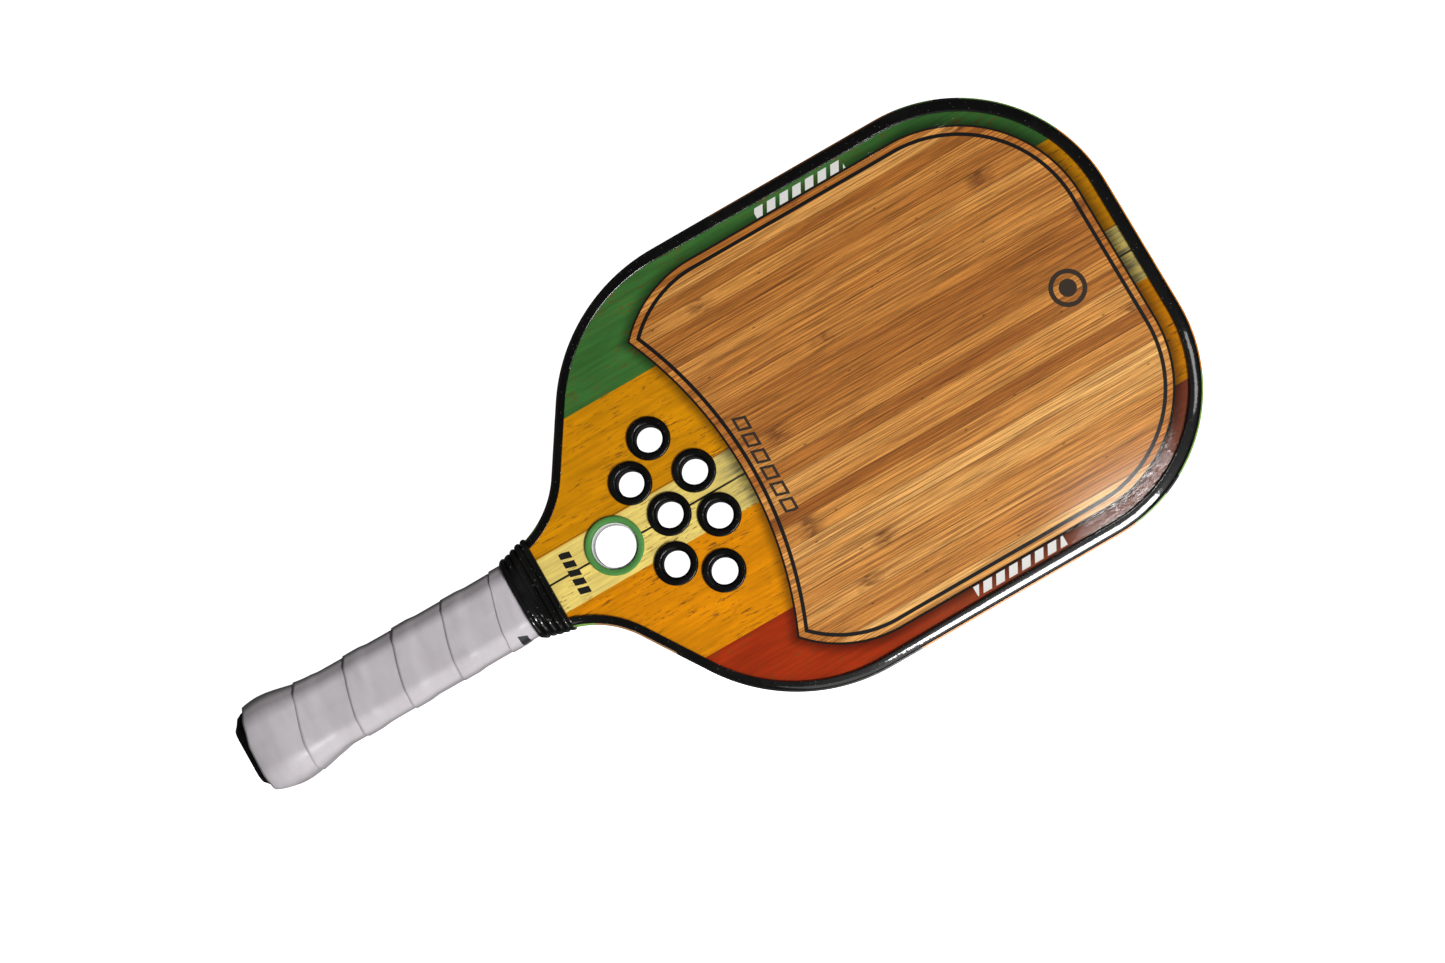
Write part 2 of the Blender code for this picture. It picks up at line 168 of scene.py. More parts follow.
def carried_round_head(section, start, side):
    """A closed section of (inset, height) points, carried along one half of the head's edge from the neck up
    to just short of the middle."""
    top, shoulder, neck, throat_top, throat_low = head_centres()
    bm = bmesh.new()
    first = math.pi - math.asin((BUTT + start - neck.y) / NECK_RADIUS)
    outward = Vector((math.cos(first), math.sin(first), 0))
    corners = []
    for inset, height in section:
        at = neck + (NECK_RADIUS + inset) * outward
        corners.append(bm.verts.new((at.x, at.y, MID_HEIGHT + height)))
    leading = [bm.edges.new((corners[i - 1], corners[i])) for i in range(len(corners))]
    bm.faces.new(corners)
    turn = math.pi / 2 - THROAT_ANGLE
    stretches = [
        ("turn", neck, math.pi / 2 + THROAT_ANGLE - first, 22),
        ("run", throat_top - throat_low, 0, 0),
        ("turn", shoulder, turn, 40),
        ("run", Vector((0, top.y - shoulder.y, 0)), 0, 0),
        ("turn", top, math.pi / 2, 56),
        ("run", Vector((0.1 * MM - top.x, 0, 0)), 0, 0),
    ]
    for kind, value, angle, steps in stretches:
        if kind == "turn":
            geometry = leading + list(dict.fromkeys(v for edge in leading for v in edge.verts))
            made = bmesh.ops.spin(
                bm, geom=geometry, cent=value, axis=(0, 0, 1), angle=angle, steps=steps, use_merge=False
            )["geom_last"]
        else:
            made = bmesh.ops.extrude_edge_only(bm, edges=leading)["geom"]
            moved = [v for v in made if isinstance(v, bmesh.types.BMVert)]
            bmesh.ops.translate(bm, vec=value, verts=moved)
        leading = [edge for edge in made if isinstance(edge, bmesh.types.BMEdge)]
    bmesh.ops.contextual_create(bm, geom=leading)
    if side < 0:
        bmesh.ops.scale(bm, vec=(-1, 1, 1), verts=bm.verts)
    return in_order(bm)


def arc(centre, radius, start, end, steps):
    """Points on a circle from one angle to another, both ends included."""
    angles = [start + (end - start) * i / steps for i in range(steps + 1)]
    return [Vector((centre[0] + radius * math.cos(a), centre[1] + radius * math.sin(a))) for a in angles]


def mirrored(points):
    """The same points on the other side of the paddle, in the opposite order."""
    return [Vector((-p.x, p.y)) for p in reversed(points)]


def film_outline():
    """The film's edge, which lies under the guard and ends under the collar."""
    top, shoulder, neck, _, _ = head_centres()
    turn = math.pi / 2 - THROAT_ANGLE
    neck_start = math.pi - math.asin((BUTT + COLLAR_TOP - 2 * MM - neck.y) / (NECK_RADIUS + FILM_INSET))
    right = arc(neck, NECK_RADIUS + FILM_INSET, neck_start, math.pi / 2 + THROAT_ANGLE, 20)
    right += arc(shoulder, SHOULDER_RADIUS - FILM_INSET, -turn, 0, 36)
    right += arc(top, TOP_RADIUS - FILM_INSET, 0, math.pi / 2, 48)
    return right + mirrored(right)


def circles_meet(first, first_radius, second, second_radius):
    """Where two circles cross, to the right of the line from the first centre to the second."""
    between = Vector(second) - Vector(first)
    along = (between.length**2 + first_radius**2 - second_radius**2) / (2 * between.length)
    across = math.sqrt(first_radius**2 - along**2)
    direction = between.normalized()
    return Vector(first) + direction * along + Vector((direction.y, -direction.x)) * across


def window_outline():
    """The film's window: the head's curve at the top, turned-in sides and an arched sill."""
    side = (HALF_WIDTH - WINDOW_INSET - WINDOW_SIDE_RADIUS, BUTT + WINDOW_SIDE_TURN)
    sill = (0.0, BUTT + WINDOW_SILL - WINDOW_SILL_RADIUS)
    top = (HALF_WIDTH - TOP_RADIUS, BUTT + LENGTH - TOP_RADIUS)
    corner = circles_meet(sill, WINDOW_SILL_RADIUS, side, WINDOW_SIDE_RADIUS)
    sill_angle = math.atan2(corner.y - sill[1], corner.x)
    side_angle = math.atan2(corner.y - side[1], corner.x - side[0])
    right = arc(sill, WINDOW_SILL_RADIUS, math.pi / 2, sill_angle, 28)[:-1]
    right += arc(side, WINDOW_SIDE_RADIUS, side_angle, 0, 24)
    right += arc(top, TOP_RADIUS - WINDOW_INSET, 0, math.pi / 2, 48)
    return right + mirrored(right)[:-1]


def flat_plate(name, outlines, low, high):
    """A plate's mesh between two heights: a filled flat curve, where outlines inside the first are holes."""
    curve = bpy.data.curves.new(name, "CURVE")
    curve.dimensions = "2D"
    curve.fill_mode = "BOTH"
    curve.extrude = (high - low) / 2
    for outline in outlines:
        spline = curve.splines.new("POLY")
        spline.points.add(len(outline) - 1)
        for point, at in zip(spline.points, outline):
            point.co = (at.x, at.y, 0, 1)
        spline.use_cyclic_u = True
    shape = bpy.data.objects.new(name, curve)
    bpy.context.scene.collection.objects.link(shape)
    bpy.context.view_layer.update()
    mesh = bpy.data.meshes.new_from_object(shape)
    bpy.data.objects.remove(shape)
    mesh.transform(Matrix.Translation((0, 0, (low + high) / 2)))
    return mesh


def turned(section, at):
    """A ring turned about its own upright axis from a closed section of (radius, height)."""
    bm = bmesh.new()
    corners = [bm.verts.new((at.x + r, at.y, MID_HEIGHT + z)) for r, z in section]
    edges = [bm.edges.new((corners[i - 1], corners[i])) for i in range(len(corners))]
    section_shape = corners + edges
    centre = (at.x, at.y, 0)
    bmesh.ops.spin(
        bm, geom=section_shape, cent=centre, axis=(0, 0, 1), angle=math.tau, steps=72, use_merge=True
    )
    return in_order(bm)


def both_faces(half):
    """A closed section from the half of it on the front face."""
    return half + [(r, -z) for r, z in reversed(half)]


def rounded(centre, radius, start, end, steps=5):
    """(across, height) points round a lip, with the angles in degrees."""
    points = arc(centre, radius, math.radians(start), math.radians(end), steps)
    return [(p.x, p.y) for p in points]


# ---------------------------------------------------------------- handle sections


def heading(angle):
    """The direction at an angle in a section across the handle."""
    return Vector((math.cos(angle), 0, math.sin(angle)))


def bevelled_corner(part, start, radius, lean, soft):
    """A point from the corner's centre and its outward direction, on a corner with one bevel. The bevel leans
    away from the first face, and the soft pair are the radii where it meets the two faces."""
    turn = (lean, math.pi / 2 - lean)
    cut = [(radius - soft[n]) * math.tan(turn[n] / 2) for n in (0, 1)]
    lengths = [cut[0], soft[0] * turn[0], cut[0] + cut[1], soft[1] * turn[1], cut[1]]
    left = part * sum(lengths)
    for stretch, length in enumerate(lengths):
        if left <= length or stretch == len(lengths) - 1:
            break
        left -= length
    if stretch in (1, 3):
        side = stretch // 2
        first = start + side * lean
        centre = heading(first + turn[side] / 2) * ((radius - soft[side]) / math.cos(turn[side] / 2))
        out = heading(first + left / soft[side])
        return centre + out * soft[side], out
    angle = start + {0: 0, 2: lean, 4: math.pi / 2}[stretch]
    along = left - {0: 0, 2: cut[0], 4: cut[1]}[stretch]
    return heading(angle) * radius + heading(angle + math.pi / 2) * along, heading(angle)


def round_handle(share, half_width, half_thickness, radius, lean=None):
    """A point and its outward direction on a rounded rectangle, going round it from the middle of the front
    towards -X. The share is counted on the handle's own core, so that points on nested layers line up. With a
    lean the corners are bevelled, and each bevel leans that far from the front or the back."""
    flat_x, flat_z = HANDLE_CORE[0] - HANDLE_CORE[2], HANDLE_CORE[1] - HANDLE_CORE[2]
    quarter = HANDLE_CORE[2] * math.pi / 2
    lengths = [flat_x, quarter, 2 * flat_z, quarter, 2 * flat_x, quarter, 2 * flat_z, quarter, flat_x]
    left = (share % 1) * sum(lengths)
    for stretch, length in enumerate(lengths):
        if left <= length or stretch == len(lengths) - 1:
            break
        left -= length
    part = left / length
    inner_x, inner_z = half_width - radius, half_thickness - radius
    if stretch % 2:
        start = math.pi / 2 * (1 + stretch // 2)
        corner = {1: (-1, 1), 3: (-1, -1), 5: (1, -1), 7: (1, 1)}[stretch]
        centre = Vector((corner[0] * inner_x, 0, corner[1] * inner_z))
        if lean is None:
            out = heading(start + math.pi / 2 * part)
            return centre + out * radius, out
        soft = [share_of_radius * radius for share_of_radius in BEVEL_SOFTNESS]
        if stretch in (3, 7):
            lean, soft = math.pi / 2 - lean, soft[::-1]
        point, out = bevelled_corner(part, start, radius, lean, soft)
        return centre + point, out
    if stretch in (0, 4, 8):
        across = {0: -part, 4: 2 * part - 1, 8: 1 - part}[stretch] * inner_x
        up = -1 if stretch == 4 else 1
        return Vector((across, 0, up * half_thickness)), Vector((0, 0, up))
    over = (1 - 2 * part) * (1 if stretch == 2 else -1) * inner_z
    out = -1 if stretch == 2 else 1
    return Vector((out * half_width, 0, over)), Vector((out, 0, 0))


def smooth(value, low, high):
    """0 below low, 1 above high and an easy curve between."""
    t = min(1.0, max(0.0, (value - low) / (high - low)))
    return t * t * (3 - 2 * t)


def flare(along):
    """How far the butt's flare stands out at a distance from the end, over the straight handle."""
    crest, height, fades_out = 14.0 * MM, 3.5 * MM, 37.0 * MM
    curl, drop = 12.4 * MM, 5.6 * MM
    if along >= crest:
        return height * (1 - smooth(along, crest, fades_out))
    back = min(1.0, (crest - along) / curl)
    return height - drop * (1 - math.sqrt(1 - back**2))


def wrapped(rows, place):
    """A grid of points round the handle, one row for each entry, joined up where it comes round to itself."""
    bm = bmesh.new()
    bmesh.ops.create_grid(bm, x_segments=120, y_segments=len(rows) - 1, size=0.5)
    for vert in bm.verts:
        share, row = vert.co.x + 0.5, round((vert.co.y + 0.5) * (len(rows) - 1))
        vert.co = place(share, rows[row])
    bmesh.ops.remove_doubles(bm, verts=bm.verts, dist=0.001 * MM)
    return bm


# ---------------------------------------------------------------- finishes


def frame_up(nodes, effects):
    """Puts each effect's nodes in a labelled frame, on a row of its own."""
    for row, (effect, members) in enumerate(effects.items()):
        box = nodes.new("NodeFrame")
        box.label = effect
        for column, node in enumerate(members):
            node.parent = box
            node.location = (column * 230, -row * 460)


def window_distance_group():
    """A node group: how far a point of the face is outside the film's window, negative inside it."""
    group = bpy.data.node_groups.new("distance from the window", "ShaderNodeTree")
    group.interface.new_socket(name="Place", in_out="INPUT", socket_type="NodeSocketVector")
    group.interface.new_socket(name="Distance", in_out="OUTPUT", socket_type="NodeSocketFloat")
    nodes, links = group.nodes, group.links

    entry = nodes.new("NodeGroupInput")
    entry.label = "place on the face"
    leave = nodes.new("NodeGroupOutput")
    leave.label = "distance out of the window"
    split = nodes.new("ShaderNodeSeparateXYZ")
    split.label = "across and along"
    across = nodes.new("ShaderNodeMath")
    across.label = "either side alike"
    across.operation = "ABSOLUTE"

    top_x = nodes.new("ShaderNodeMath")
    top_x.label = "past the top corner's centre, across"
    top_x.operation = "SUBTRACT"
    top_x.inputs[1].default_value = HALF_WIDTH - TOP_RADIUS
    top_y = nodes.new("ShaderNodeMath")
    top_y.label = "past the top corner's centre, along"
    top_y.operation = "SUBTRACT"
    top_y.inputs[1].default_value = BUTT + LENGTH - TOP_RADIUS
    top_x_out = nodes.new("ShaderNodeMath")
    top_x_out.label = "only outwards, across"
    top_x_out.operation = "MAXIMUM"
    top_x_out.inputs[1].default_value = 0.0
    top_y_out = nodes.new("ShaderNodeMath")
    top_y_out.label = "only outwards, along"
    top_y_out.operation = "MAXIMUM"
    top_y_out.inputs[1].default_value = 0.0
    top_place = nodes.new("ShaderNodeCombineXYZ")
    top_place.label = "from the top corner's centre"
    top_far = nodes.new("ShaderNodeVectorMath")
    top_far.label = "how far from it"
    top_far.operation = "LENGTH"
    top = nodes.new("ShaderNodeMath")
    top.label = "past the top corner"
    top.operation = "SUBTRACT"
    top.inputs[1].default_value = TOP_RADIUS - WINDOW_INSET

    low_x = nodes.new("ShaderNodeMath")
    low_x.label = "past the low corner's centre, across"
    low_x.operation = "SUBTRACT"
    low_x.inputs[1].default_value = HALF_WIDTH - WINDOW_INSET - WINDOW_SIDE_RADIUS
    low_y = nodes.new("ShaderNodeMath")
    low_y.label = "below the low corner's centre"
    low_y.operation = "SUBTRACT"
    low_y.inputs[0].default_value = BUTT + WINDOW_SIDE_TURN
    low_x_out = nodes.new("ShaderNodeMath")
    low_x_out.label = "only outwards, across"
    low_x_out.operation = "MAXIMUM"
    low_x_out.inputs[1].default_value = 0.0
    low_y_out = nodes.new("ShaderNodeMath")
    low_y_out.label = "only downwards"
    low_y_out.operation = "MAXIMUM"
    low_y_out.inputs[1].default_value = 0.0
    low_place = nodes.new("ShaderNodeCombineXYZ")
    low_place.label = "from the low corner's centre"
    low_far = nodes.new("ShaderNodeVectorMath")
    low_far.label = "how far from it"
    low_far.operation = "LENGTH"
    low = nodes.new("ShaderNodeMath")
    low.label = "past the turned-in side"
    low.operation = "SUBTRACT"
    low.inputs[1].default_value = WINDOW_SIDE_RADIUS

    sill_y = nodes.new("ShaderNodeMath")
    sill_y.label = "above the sill's centre"
    sill_y.operation = "SUBTRACT"
    sill_y.inputs[1].default_value = BUTT + WINDOW_SILL - WINDOW_SILL_RADIUS
    sill_place = nodes.new("ShaderNodeCombineXYZ")
    sill_place.label = "from the sill's centre"
    sill_far = nodes.new("ShaderNodeVectorMath")
    sill_far.label = "how far from it"
    sill_far.operation = "LENGTH"
    sill = nodes.new("ShaderNodeMath")
    sill.label = "below the arched sill"
    sill.operation = "SUBTRACT"
    sill.inputs[0].default_value = WINDOW_SILL_RADIUS

    sides = nodes.new("ShaderNodeMath")
    sides.label = "top and sides together"
    sides.operation = "MAXIMUM"
    whole = nodes.new("ShaderNodeMath")
    whole.label = "the whole window"
    whole.operation = "MAXIMUM"

    frame_up(
        nodes,
        {
            "Place": [entry, split, across],
            "Top corners": [top_x, top_y, top_x_out, top_y_out, top_place, top_far, top],
            "Turned-in sides": [low_x, low_y, low_x_out, low_y_out, low_place, low_far, low],
            "Arched sill": [sill_y, sill_place, sill_far, sill],
            "Window": [sides, whole, leave],
        },
    )

    links.new(entry.outputs["Place"], split.inputs["Vector"])
    links.new(split.outputs["X"], across.inputs[0])
    links.new(across.outputs["Value"], top_x.inputs[0])
    links.new(split.outputs["Y"], top_y.inputs[0])
    links.new(top_x.outputs["Value"], top_x_out.inputs[0])
    links.new(top_y.outputs["Value"], top_y_out.inputs[0])
    links.new(top_x_out.outputs["Value"], top_place.inputs["X"])
    links.new(top_y_out.outputs["Value"], top_place.inputs["Y"])
    links.new(top_place.outputs["Vector"], top_far.inputs[0])
    links.new(top_far.outputs["Value"], top.inputs[0])
    links.new(across.outputs["Value"], low_x.inputs[0])
    links.new(split.outputs["Y"], low_y.inputs[1])
    links.new(low_x.outputs["Value"], low_x_out.inputs[0])
    links.new(low_y.outputs["Value"], low_y_out.inputs[0])
    links.new(low_x_out.outputs["Value"], low_place.inputs["X"])
    links.new(low_y_out.outputs["Value"], low_place.inputs["Y"])
    links.new(low_place.outputs["Vector"], low_far.inputs[0])
    links.new(low_far.outputs["Value"], low.inputs[0])
    links.new(split.outputs["X"], sill_place.inputs["X"])
    links.new(split.outputs["Y"], sill_y.inputs[0])
    links.new(sill_y.outputs["Value"], sill_place.inputs["Y"])
    links.new(sill_place.outputs["Vector"], sill_far.inputs[0])
    links.new(sill_far.outputs["Value"], sill.inputs[1])
    links.new(top.outputs["Value"], sides.inputs[0])
    links.new(low.outputs["Value"], sides.inputs[1])
    links.new(sides.outputs["Value"], whole.inputs[0])
    links.new(sill.outputs["Value"], whole.inputs[1])
    links.new(whole.outputs["Value"], leave.inputs["Distance"])
    return group


def bamboo_board(name, window, hand):
    """Bamboo strips glued edge to edge, with fibres, streaks and knuckles, under a thin clear coat, and
    painted shade that darkens the wood towards one side. A dark line is printed just inside the window, with
    a ring at the top and a row of bars above the sill. The hand is -1 on the back."""
    material = bpy.data.materials.new(name)
    material.use_nodes = True
    nodes, links = material.node_tree.nodes, material.node_tree.links
    nodes.clear()

    place = nodes.new("ShaderNodeTexCoord")
    place.label = "place on the paddle"
    split = nodes.new("ShaderNodeSeparateXYZ")
    split.label = "across and along"

    # strips
    wander_size = nodes.new("ShaderNodeMapping")
    wander_size.label = "how fast the joints wander"
    wander_size.inputs["Scale"].default_value = (22.0, 3.0, 1.0)
    wander = nodes.new("ShaderNodeTexNoise")
    wander.label = "joints wander a little"
    wander.inputs["Scale"].default_value = 1.0
    wander.inputs["Detail"].default_value = 1.0
    wander_amount = nodes.new("ShaderNodeMath")
    wander_amount.label = "by about a millimetre either way"
    wander_amount.operation = "MULTIPLY"
    wander_amount.inputs[1].default_value = 2.2 * MM
    strip_x = nodes.new("ShaderNodeMath")
    strip_x.label = "across the strips"
    strips = nodes.new("ShaderNodeTexVoronoi")
    strips.label = "one shade for each strip"
    strips.voronoi_dimensions = "1D"
    strips.inputs["Scale"].default_value = 165.0
    strips.inputs["Randomness"].default_value = 0.8
    joints = nodes.new("ShaderNodeTexVoronoi")
    joints.label = "glue joints between strips"
    joints.voronoi_dimensions = "1D"
    joints.feature = "DISTANCE_TO_EDGE"
    joints.inputs["Scale"].default_value = 165.0
    joints.inputs["Randomness"].default_value = 0.8
    joint_width = nodes.new("ShaderNodeMapRange")
    joint_width.label = "narrow dark joints"
    joint_width.inputs["From Max"].default_value = 0.06
    joint_width.inputs["To Min"].default_value = 0.58
    strip_values = nodes.new("ShaderNodeSeparateColor")
    strip_values.label = "three numbers for each strip"

    # tone
    drift_size = nodes.new("ShaderNodeMapping")
    drift_size.label = "broad bands lengthwise"
    drift_size.inputs["Scale"].default_value = (48.0, 3.2, 1.0)
    drift_size.inputs["Location"].default_value = (3.4, 6.2, 0.0)
    drift = nodes.new("ShaderNodeTexNoise")
    drift.label = "tone drifts across the board"
    drift.inputs["Scale"].default_value = 1.0
    tone = nodes.new("ShaderNodeMix")
    tone.label = "strip's shade with the drift"
    tone.data_type = "FLOAT"
    tone.inputs["Factor"].default_value = 0.58
    # Painted shade: the wood's tone is pushed darker and browner towards one side, as though less light
    # reached it there.
    painted_shade = nodes.new("ShaderNodeMath")
    painted_shade.label = "browner towards one side"
    painted_shade.operation = "MULTIPLY_ADD"
    painted_shade.inputs[1].default_value = 1.0 * hand
    tones = nodes.new("ShaderNodeValToRGB")
    tones.label = "bamboo from brown to straw"
    ramp = tones.color_ramp.elements
    ramp[0].position, ramp[0].color = 0.24, (0.35, 0.112, 0.014, 1)
    ramp[1].position, ramp[1].color = 0.76, (0.86, 0.455, 0.132, 1)
    ramp.new(0.42).color = (0.55, 0.208, 0.036, 1)
    ramp.new(0.58).color = (0.69, 0.295, 0.060, 1)

    # fibres
    fibre_size = nodes.new("ShaderNodeMapping")
    fibre_size.label = "fibres run lengthwise"
    fibre_size.inputs["Scale"].default_value = (1900.0, 34.0, 1.0)
    fibres = nodes.new("ShaderNodeTexNoise")
    fibres.label = "fine fibres"
    fibres.inputs["Scale"].default_value = 1.0
    fibres.inputs["Detail"].default_value = 5.0
    fibres.inputs["Roughness"].default_value = 0.75
    fibre_shade = nodes.new("ShaderNodeMapRange")
    fibre_shade.label = "fibres shade the wood"
    fibre_shade.inputs["From Min"].default_value = 0.36
    fibre_shade.inputs["From Max"].default_value = 0.62
    fibre_shade.inputs["To Min"].default_value = 0.46
    fibre_shade.inputs["To Max"].default_value = 1.38
    streak_size = nodes.new("ShaderNodeMapping")
    streak_size.label = "streaks are long and thin"
    streak_size.inputs["Scale"].default_value = (1500.0, 13.0, 1.0)
    streaks = nodes.new("ShaderNodeTexNoise")
    streaks.label = "sap streaks"
    streaks.inputs["Scale"].default_value = 1.0
    streak_mask = nodes.new("ShaderNodeMapRange")
    streak_mask.label = "only the strongest streaks"
    streak_mask.inputs["From Min"].default_value = 0.50
    streak_mask.inputs["From Max"].default_value = 0.57
    streak_mask.inputs["To Max"].default_value = 0.62
    streaked = nodes.new("ShaderNodeMix")
    streaked.label = "reddish streaks"
    streaked.data_type = "RGBA"
    streaked.inputs[COLOR_B].default_value = (0.25, 0.070, 0.010, 1)

    # knuckles
    knuckle_phase = nodes.new("ShaderNodeMath")
    knuckle_phase.label = "each strip's knuckles lie elsewhere"
    knuckle_phase.operation = "MULTIPLY_ADD"
    knuckle_phase.inputs[1].default_value = 4.6
    ragged_size = nodes.new("ShaderNodeMapping")
    ragged_size.label = "grain of the knuckles"
    ragged_size.inputs["Scale"].default_value = (560.0, 130.0, 1.0)
    ragged = nodes.new("ShaderNodeTexNoise")
    ragged.label = "ragged knuckles"
    ragged.inputs["Scale"].default_value = 1.0
    ragged_amount = nodes.new("ShaderNodeMath")
    ragged_amount.label = "how ragged"
    ragged_amount.operation = "MULTIPLY_ADD"
    ragged_amount.inputs[1].default_value = 0.035
    knuckle_wave = nodes.new("ShaderNodeMath")
    knuckle_wave.label = "place between two knuckles"
    knuckle_wave.operation = "FRACT"
    knuckle_far = nodes.new("ShaderNodeMath")
    knuckle_far.label = "from the knuckle's line"
    knuckle_far.operation = "SUBTRACT"
    knuckle_far.inputs[1].default_value = 0.5
    knuckle_near = nodes.new("ShaderNodeMath")
    knuckle_near.label = "either way from it"
    knuckle_near.operation = "ABSOLUTE"
    knuckle_mask = nodes.new("ShaderNodeMapRange")
    knuckle_mask.label = "short brushed band"
    knuckle_mask.inputs["From Min"].default_value = 0.004
    knuckle_mask.inputs["From Max"].default_value = 0.032
    knuckle_mask.inputs["To Min"].default_value = 1.0
    knuckle_mask.inputs["To Max"].default_value = 0.0
    knuckle_some = nodes.new("ShaderNodeMapRange")
    knuckle_some.label = "only on some strips"
    knuckle_some.inputs["From Min"].default_value = 0.52
    knuckle_some.inputs["From Max"].default_value = 0.62
    knuckle_some.inputs["To Max"].default_value = 0.8
    knuckle_grain = nodes.new("ShaderNodeMapRange")
    knuckle_grain.label = "dark fibres in the knuckles"
    knuckle_grain.inputs["From Min"].default_value = 0.40
    knuckle_grain.inputs["From Max"].default_value = 0.56
    knuckle_grain.inputs["To Min"].default_value = 0.25
    knuckle_band = nodes.new("ShaderNodeMath")
    knuckle_band.label = "a bundle of fibres"
    knuckle_band.operation = "MULTIPLY"
    knuckle_shown = nodes.new("ShaderNodeMath")
    knuckle_shown.label = "knuckles that show"
    knuckle_shown.operation = "MULTIPLY"
    knuckled = nodes.new("ShaderNodeMix")
    knuckled.label = "brown knuckles"
    knuckled.data_type = "RGBA"
    knuckled.inputs[COLOR_B].default_value = (0.17, 0.050, 0.009, 1)

    # pinholes
    pin_size = nodes.new("ShaderNodeMapping")
    pin_size.label = "pinholes are short dashes"
    pin_size.inputs["Scale"].default_value = (52.0, 24.0, 1.0)
    pins = nodes.new("ShaderNodeTexVoronoi")
    pins.label = "scattered pinholes"
    pins.voronoi_dimensions = "2D"
    pins.inputs["Scale"].default_value = 1.0
    pin_mask = nodes.new("ShaderNodeMapRange")
    pin_mask.label = "tiny dots"
    pin_mask.inputs["From Min"].default_value = 0.010
    pin_mask.inputs["From Max"].default_value = 0.022
    pin_mask.inputs["To Min"].default_value = 0.45

    # colour
    fibre_joint = nodes.new("ShaderNodeMath")
    fibre_joint.label = "fibres and joints"
    fibre_joint.operation = "MULTIPLY"
    shade = nodes.new("ShaderNodeMath")
    shade.label = "all the fine shading"
    shade.operation = "MULTIPLY"
    shaded = nodes.new("ShaderNodeVectorMath")
    shaded.label = "wood with its shading"
    shaded.operation = "SCALE"

    # printed line
    outside = nodes.new("ShaderNodeGroup")
    outside.label = "distance from the window's edge"
    outside.node_tree = window
    line_centre = nodes.new("ShaderNodeMath")
    line_centre.label = "from the line's middle"
    line_centre.inputs[1].default_value = 3.0 * MM
    line_far = nodes.new("ShaderNodeMath")
    line_far.label = "either side of the line"
    line_far.operation = "ABSOLUTE"
    line_mask = nodes.new("ShaderNodeMapRange")
    line_mask.label = "a line about 1.5 mm wide"
    line_mask.inputs["From Min"].default_value = 0.70 * MM
    line_mask.inputs["From Max"].default_value = 0.85 * MM
    line_mask.inputs["To Min"].default_value = 1.0
    line_mask.inputs["To Max"].default_value = 0.0
    border_mask = nodes.new("ShaderNodeMapRange")
    border_mask.label = "border between the lines"
    border_mask.inputs["From Min"].default_value = -3.6 * MM
    border_mask.inputs["From Max"].default_value = -3.1 * MM
    border_mask.inputs["To Max"].default_value = 0.55
    bordered = nodes.new("ShaderNodeMix")
    bordered.label = "warmer border"
    bordered.data_type = "RGBA"
    bordered.blend_type = "MULTIPLY"
    bordered.inputs[COLOR_B].default_value = (0.98, 0.82, 0.58, 1)
    lined = nodes.new("ShaderNodeMix")
    lined.label = "dark line on the wood"
    lined.data_type = "RGBA"
    lined.inputs[COLOR_B].default_value = (0.004, 0.003, 0.003, 1)

    # printed marks
    ring_along = BUTT + 371.5 * MM
    bars_along = BUTT + 233.8 * MM
    faced = nodes.new("ShaderNodeMapping")
    faced.label = "flat on the face, from the ring's middle"
    faced.inputs["Location"].default_value = (-1.3 * MM * hand, -ring_along, 0.0)
    faced.inputs["Scale"].default_value = (1.0, 1.0, 0.0)
    ring_far = nodes.new("ShaderNodeVectorMath")
    ring_far.label = "distance from the ring's middle"
    ring_far.operation = "LENGTH"
    ring = nodes.new("ShaderNodeMath")
    ring.label = "ring"
    ring.operation = "COMPARE"
    ring.inputs[1].default_value = 6.7 * MM
    ring.inputs[2].default_value = 0.95 * MM
    dot = nodes.new("ShaderNodeMath")
    dot.label = "dot in the ring"
    dot.operation = "LESS_THAN"
    dot.inputs[1].default_value = 3.6 * MM
    bar_lean = nodes.new("ShaderNodeMath")
    bar_lean.label = "bars lean a little"
    bar_lean.operation = "MULTIPLY_ADD"
    bar_lean.inputs[1].default_value = -0.3
    bar_step = nodes.new("ShaderNodeMath")
    bar_step.label = "one step for each bar"
    bar_step.operation = "DIVIDE"
    bar_step.inputs[1].default_value = 7.4 * MM
    bar_wave = nodes.new("ShaderNodeMath")
    bar_wave.label = "place in the step"
    bar_wave.operation = "FRACT"
    bar_wide = nodes.new("ShaderNodeMath")
    bar_wide.label = "bar, and not the gap"
    bar_wide.operation = "COMPARE"
    bar_wide.inputs[1].default_value = 0.5
    bar_wide.inputs[2].default_value = 0.40
    bar_high = nodes.new("ShaderNodeMath")
    bar_high.label = "height of the bars"
    bar_high.operation = "COMPARE"
    bar_high.inputs[1].default_value = bars_along
    bar_high.inputs[2].default_value = 2.8 * MM
    bare_wide = nodes.new("ShaderNodeMath")
    bare_wide.label = "between a bar's outlines, across"
    bare_wide.operation = "COMPARE"
    bare_wide.inputs[1].default_value = 0.5
    bare_wide.inputs[2].default_value = 0.25
    bare_high = nodes.new("ShaderNodeMath")
    bare_high.label = "between a bar's outlines, along"
    bare_high.operation = "COMPARE"
    bare_high.inputs[1].default_value = bars_along
    bare_high.inputs[2].default_value = 1.65 * MM
    bare = nodes.new("ShaderNodeMath")
    bare.label = "bare wood in each bar"
    bare.operation = "MULTIPLY"
    outlined = nodes.new("ShaderNodeMath")
    outlined.label = "outlines of the bars"
    outlined.operation = "SUBTRACT"
    outlined.use_clamp = True
    bar_row = nodes.new("ShaderNodeMath")
    bar_row.label = "length of the row"
    bar_row.operation = "COMPARE"
    bar_row.inputs[1].default_value = 1.5 * MM * hand
    bar_row.inputs[2].default_value = 22.0 * MM
    bar_tall = nodes.new("ShaderNodeMath")
    bar_tall.label = "bars of that height"
    bar_tall.operation = "MULTIPLY"
    bars = nodes.new("ShaderNodeMath")
    bars.label = "row of bars"
    bars.operation = "MULTIPLY"
    marks = nodes.new("ShaderNodeMath")
    marks.label = "ring and dot"
    marks.operation = "MAXIMUM"
    all_marks = nodes.new("ShaderNodeMath")
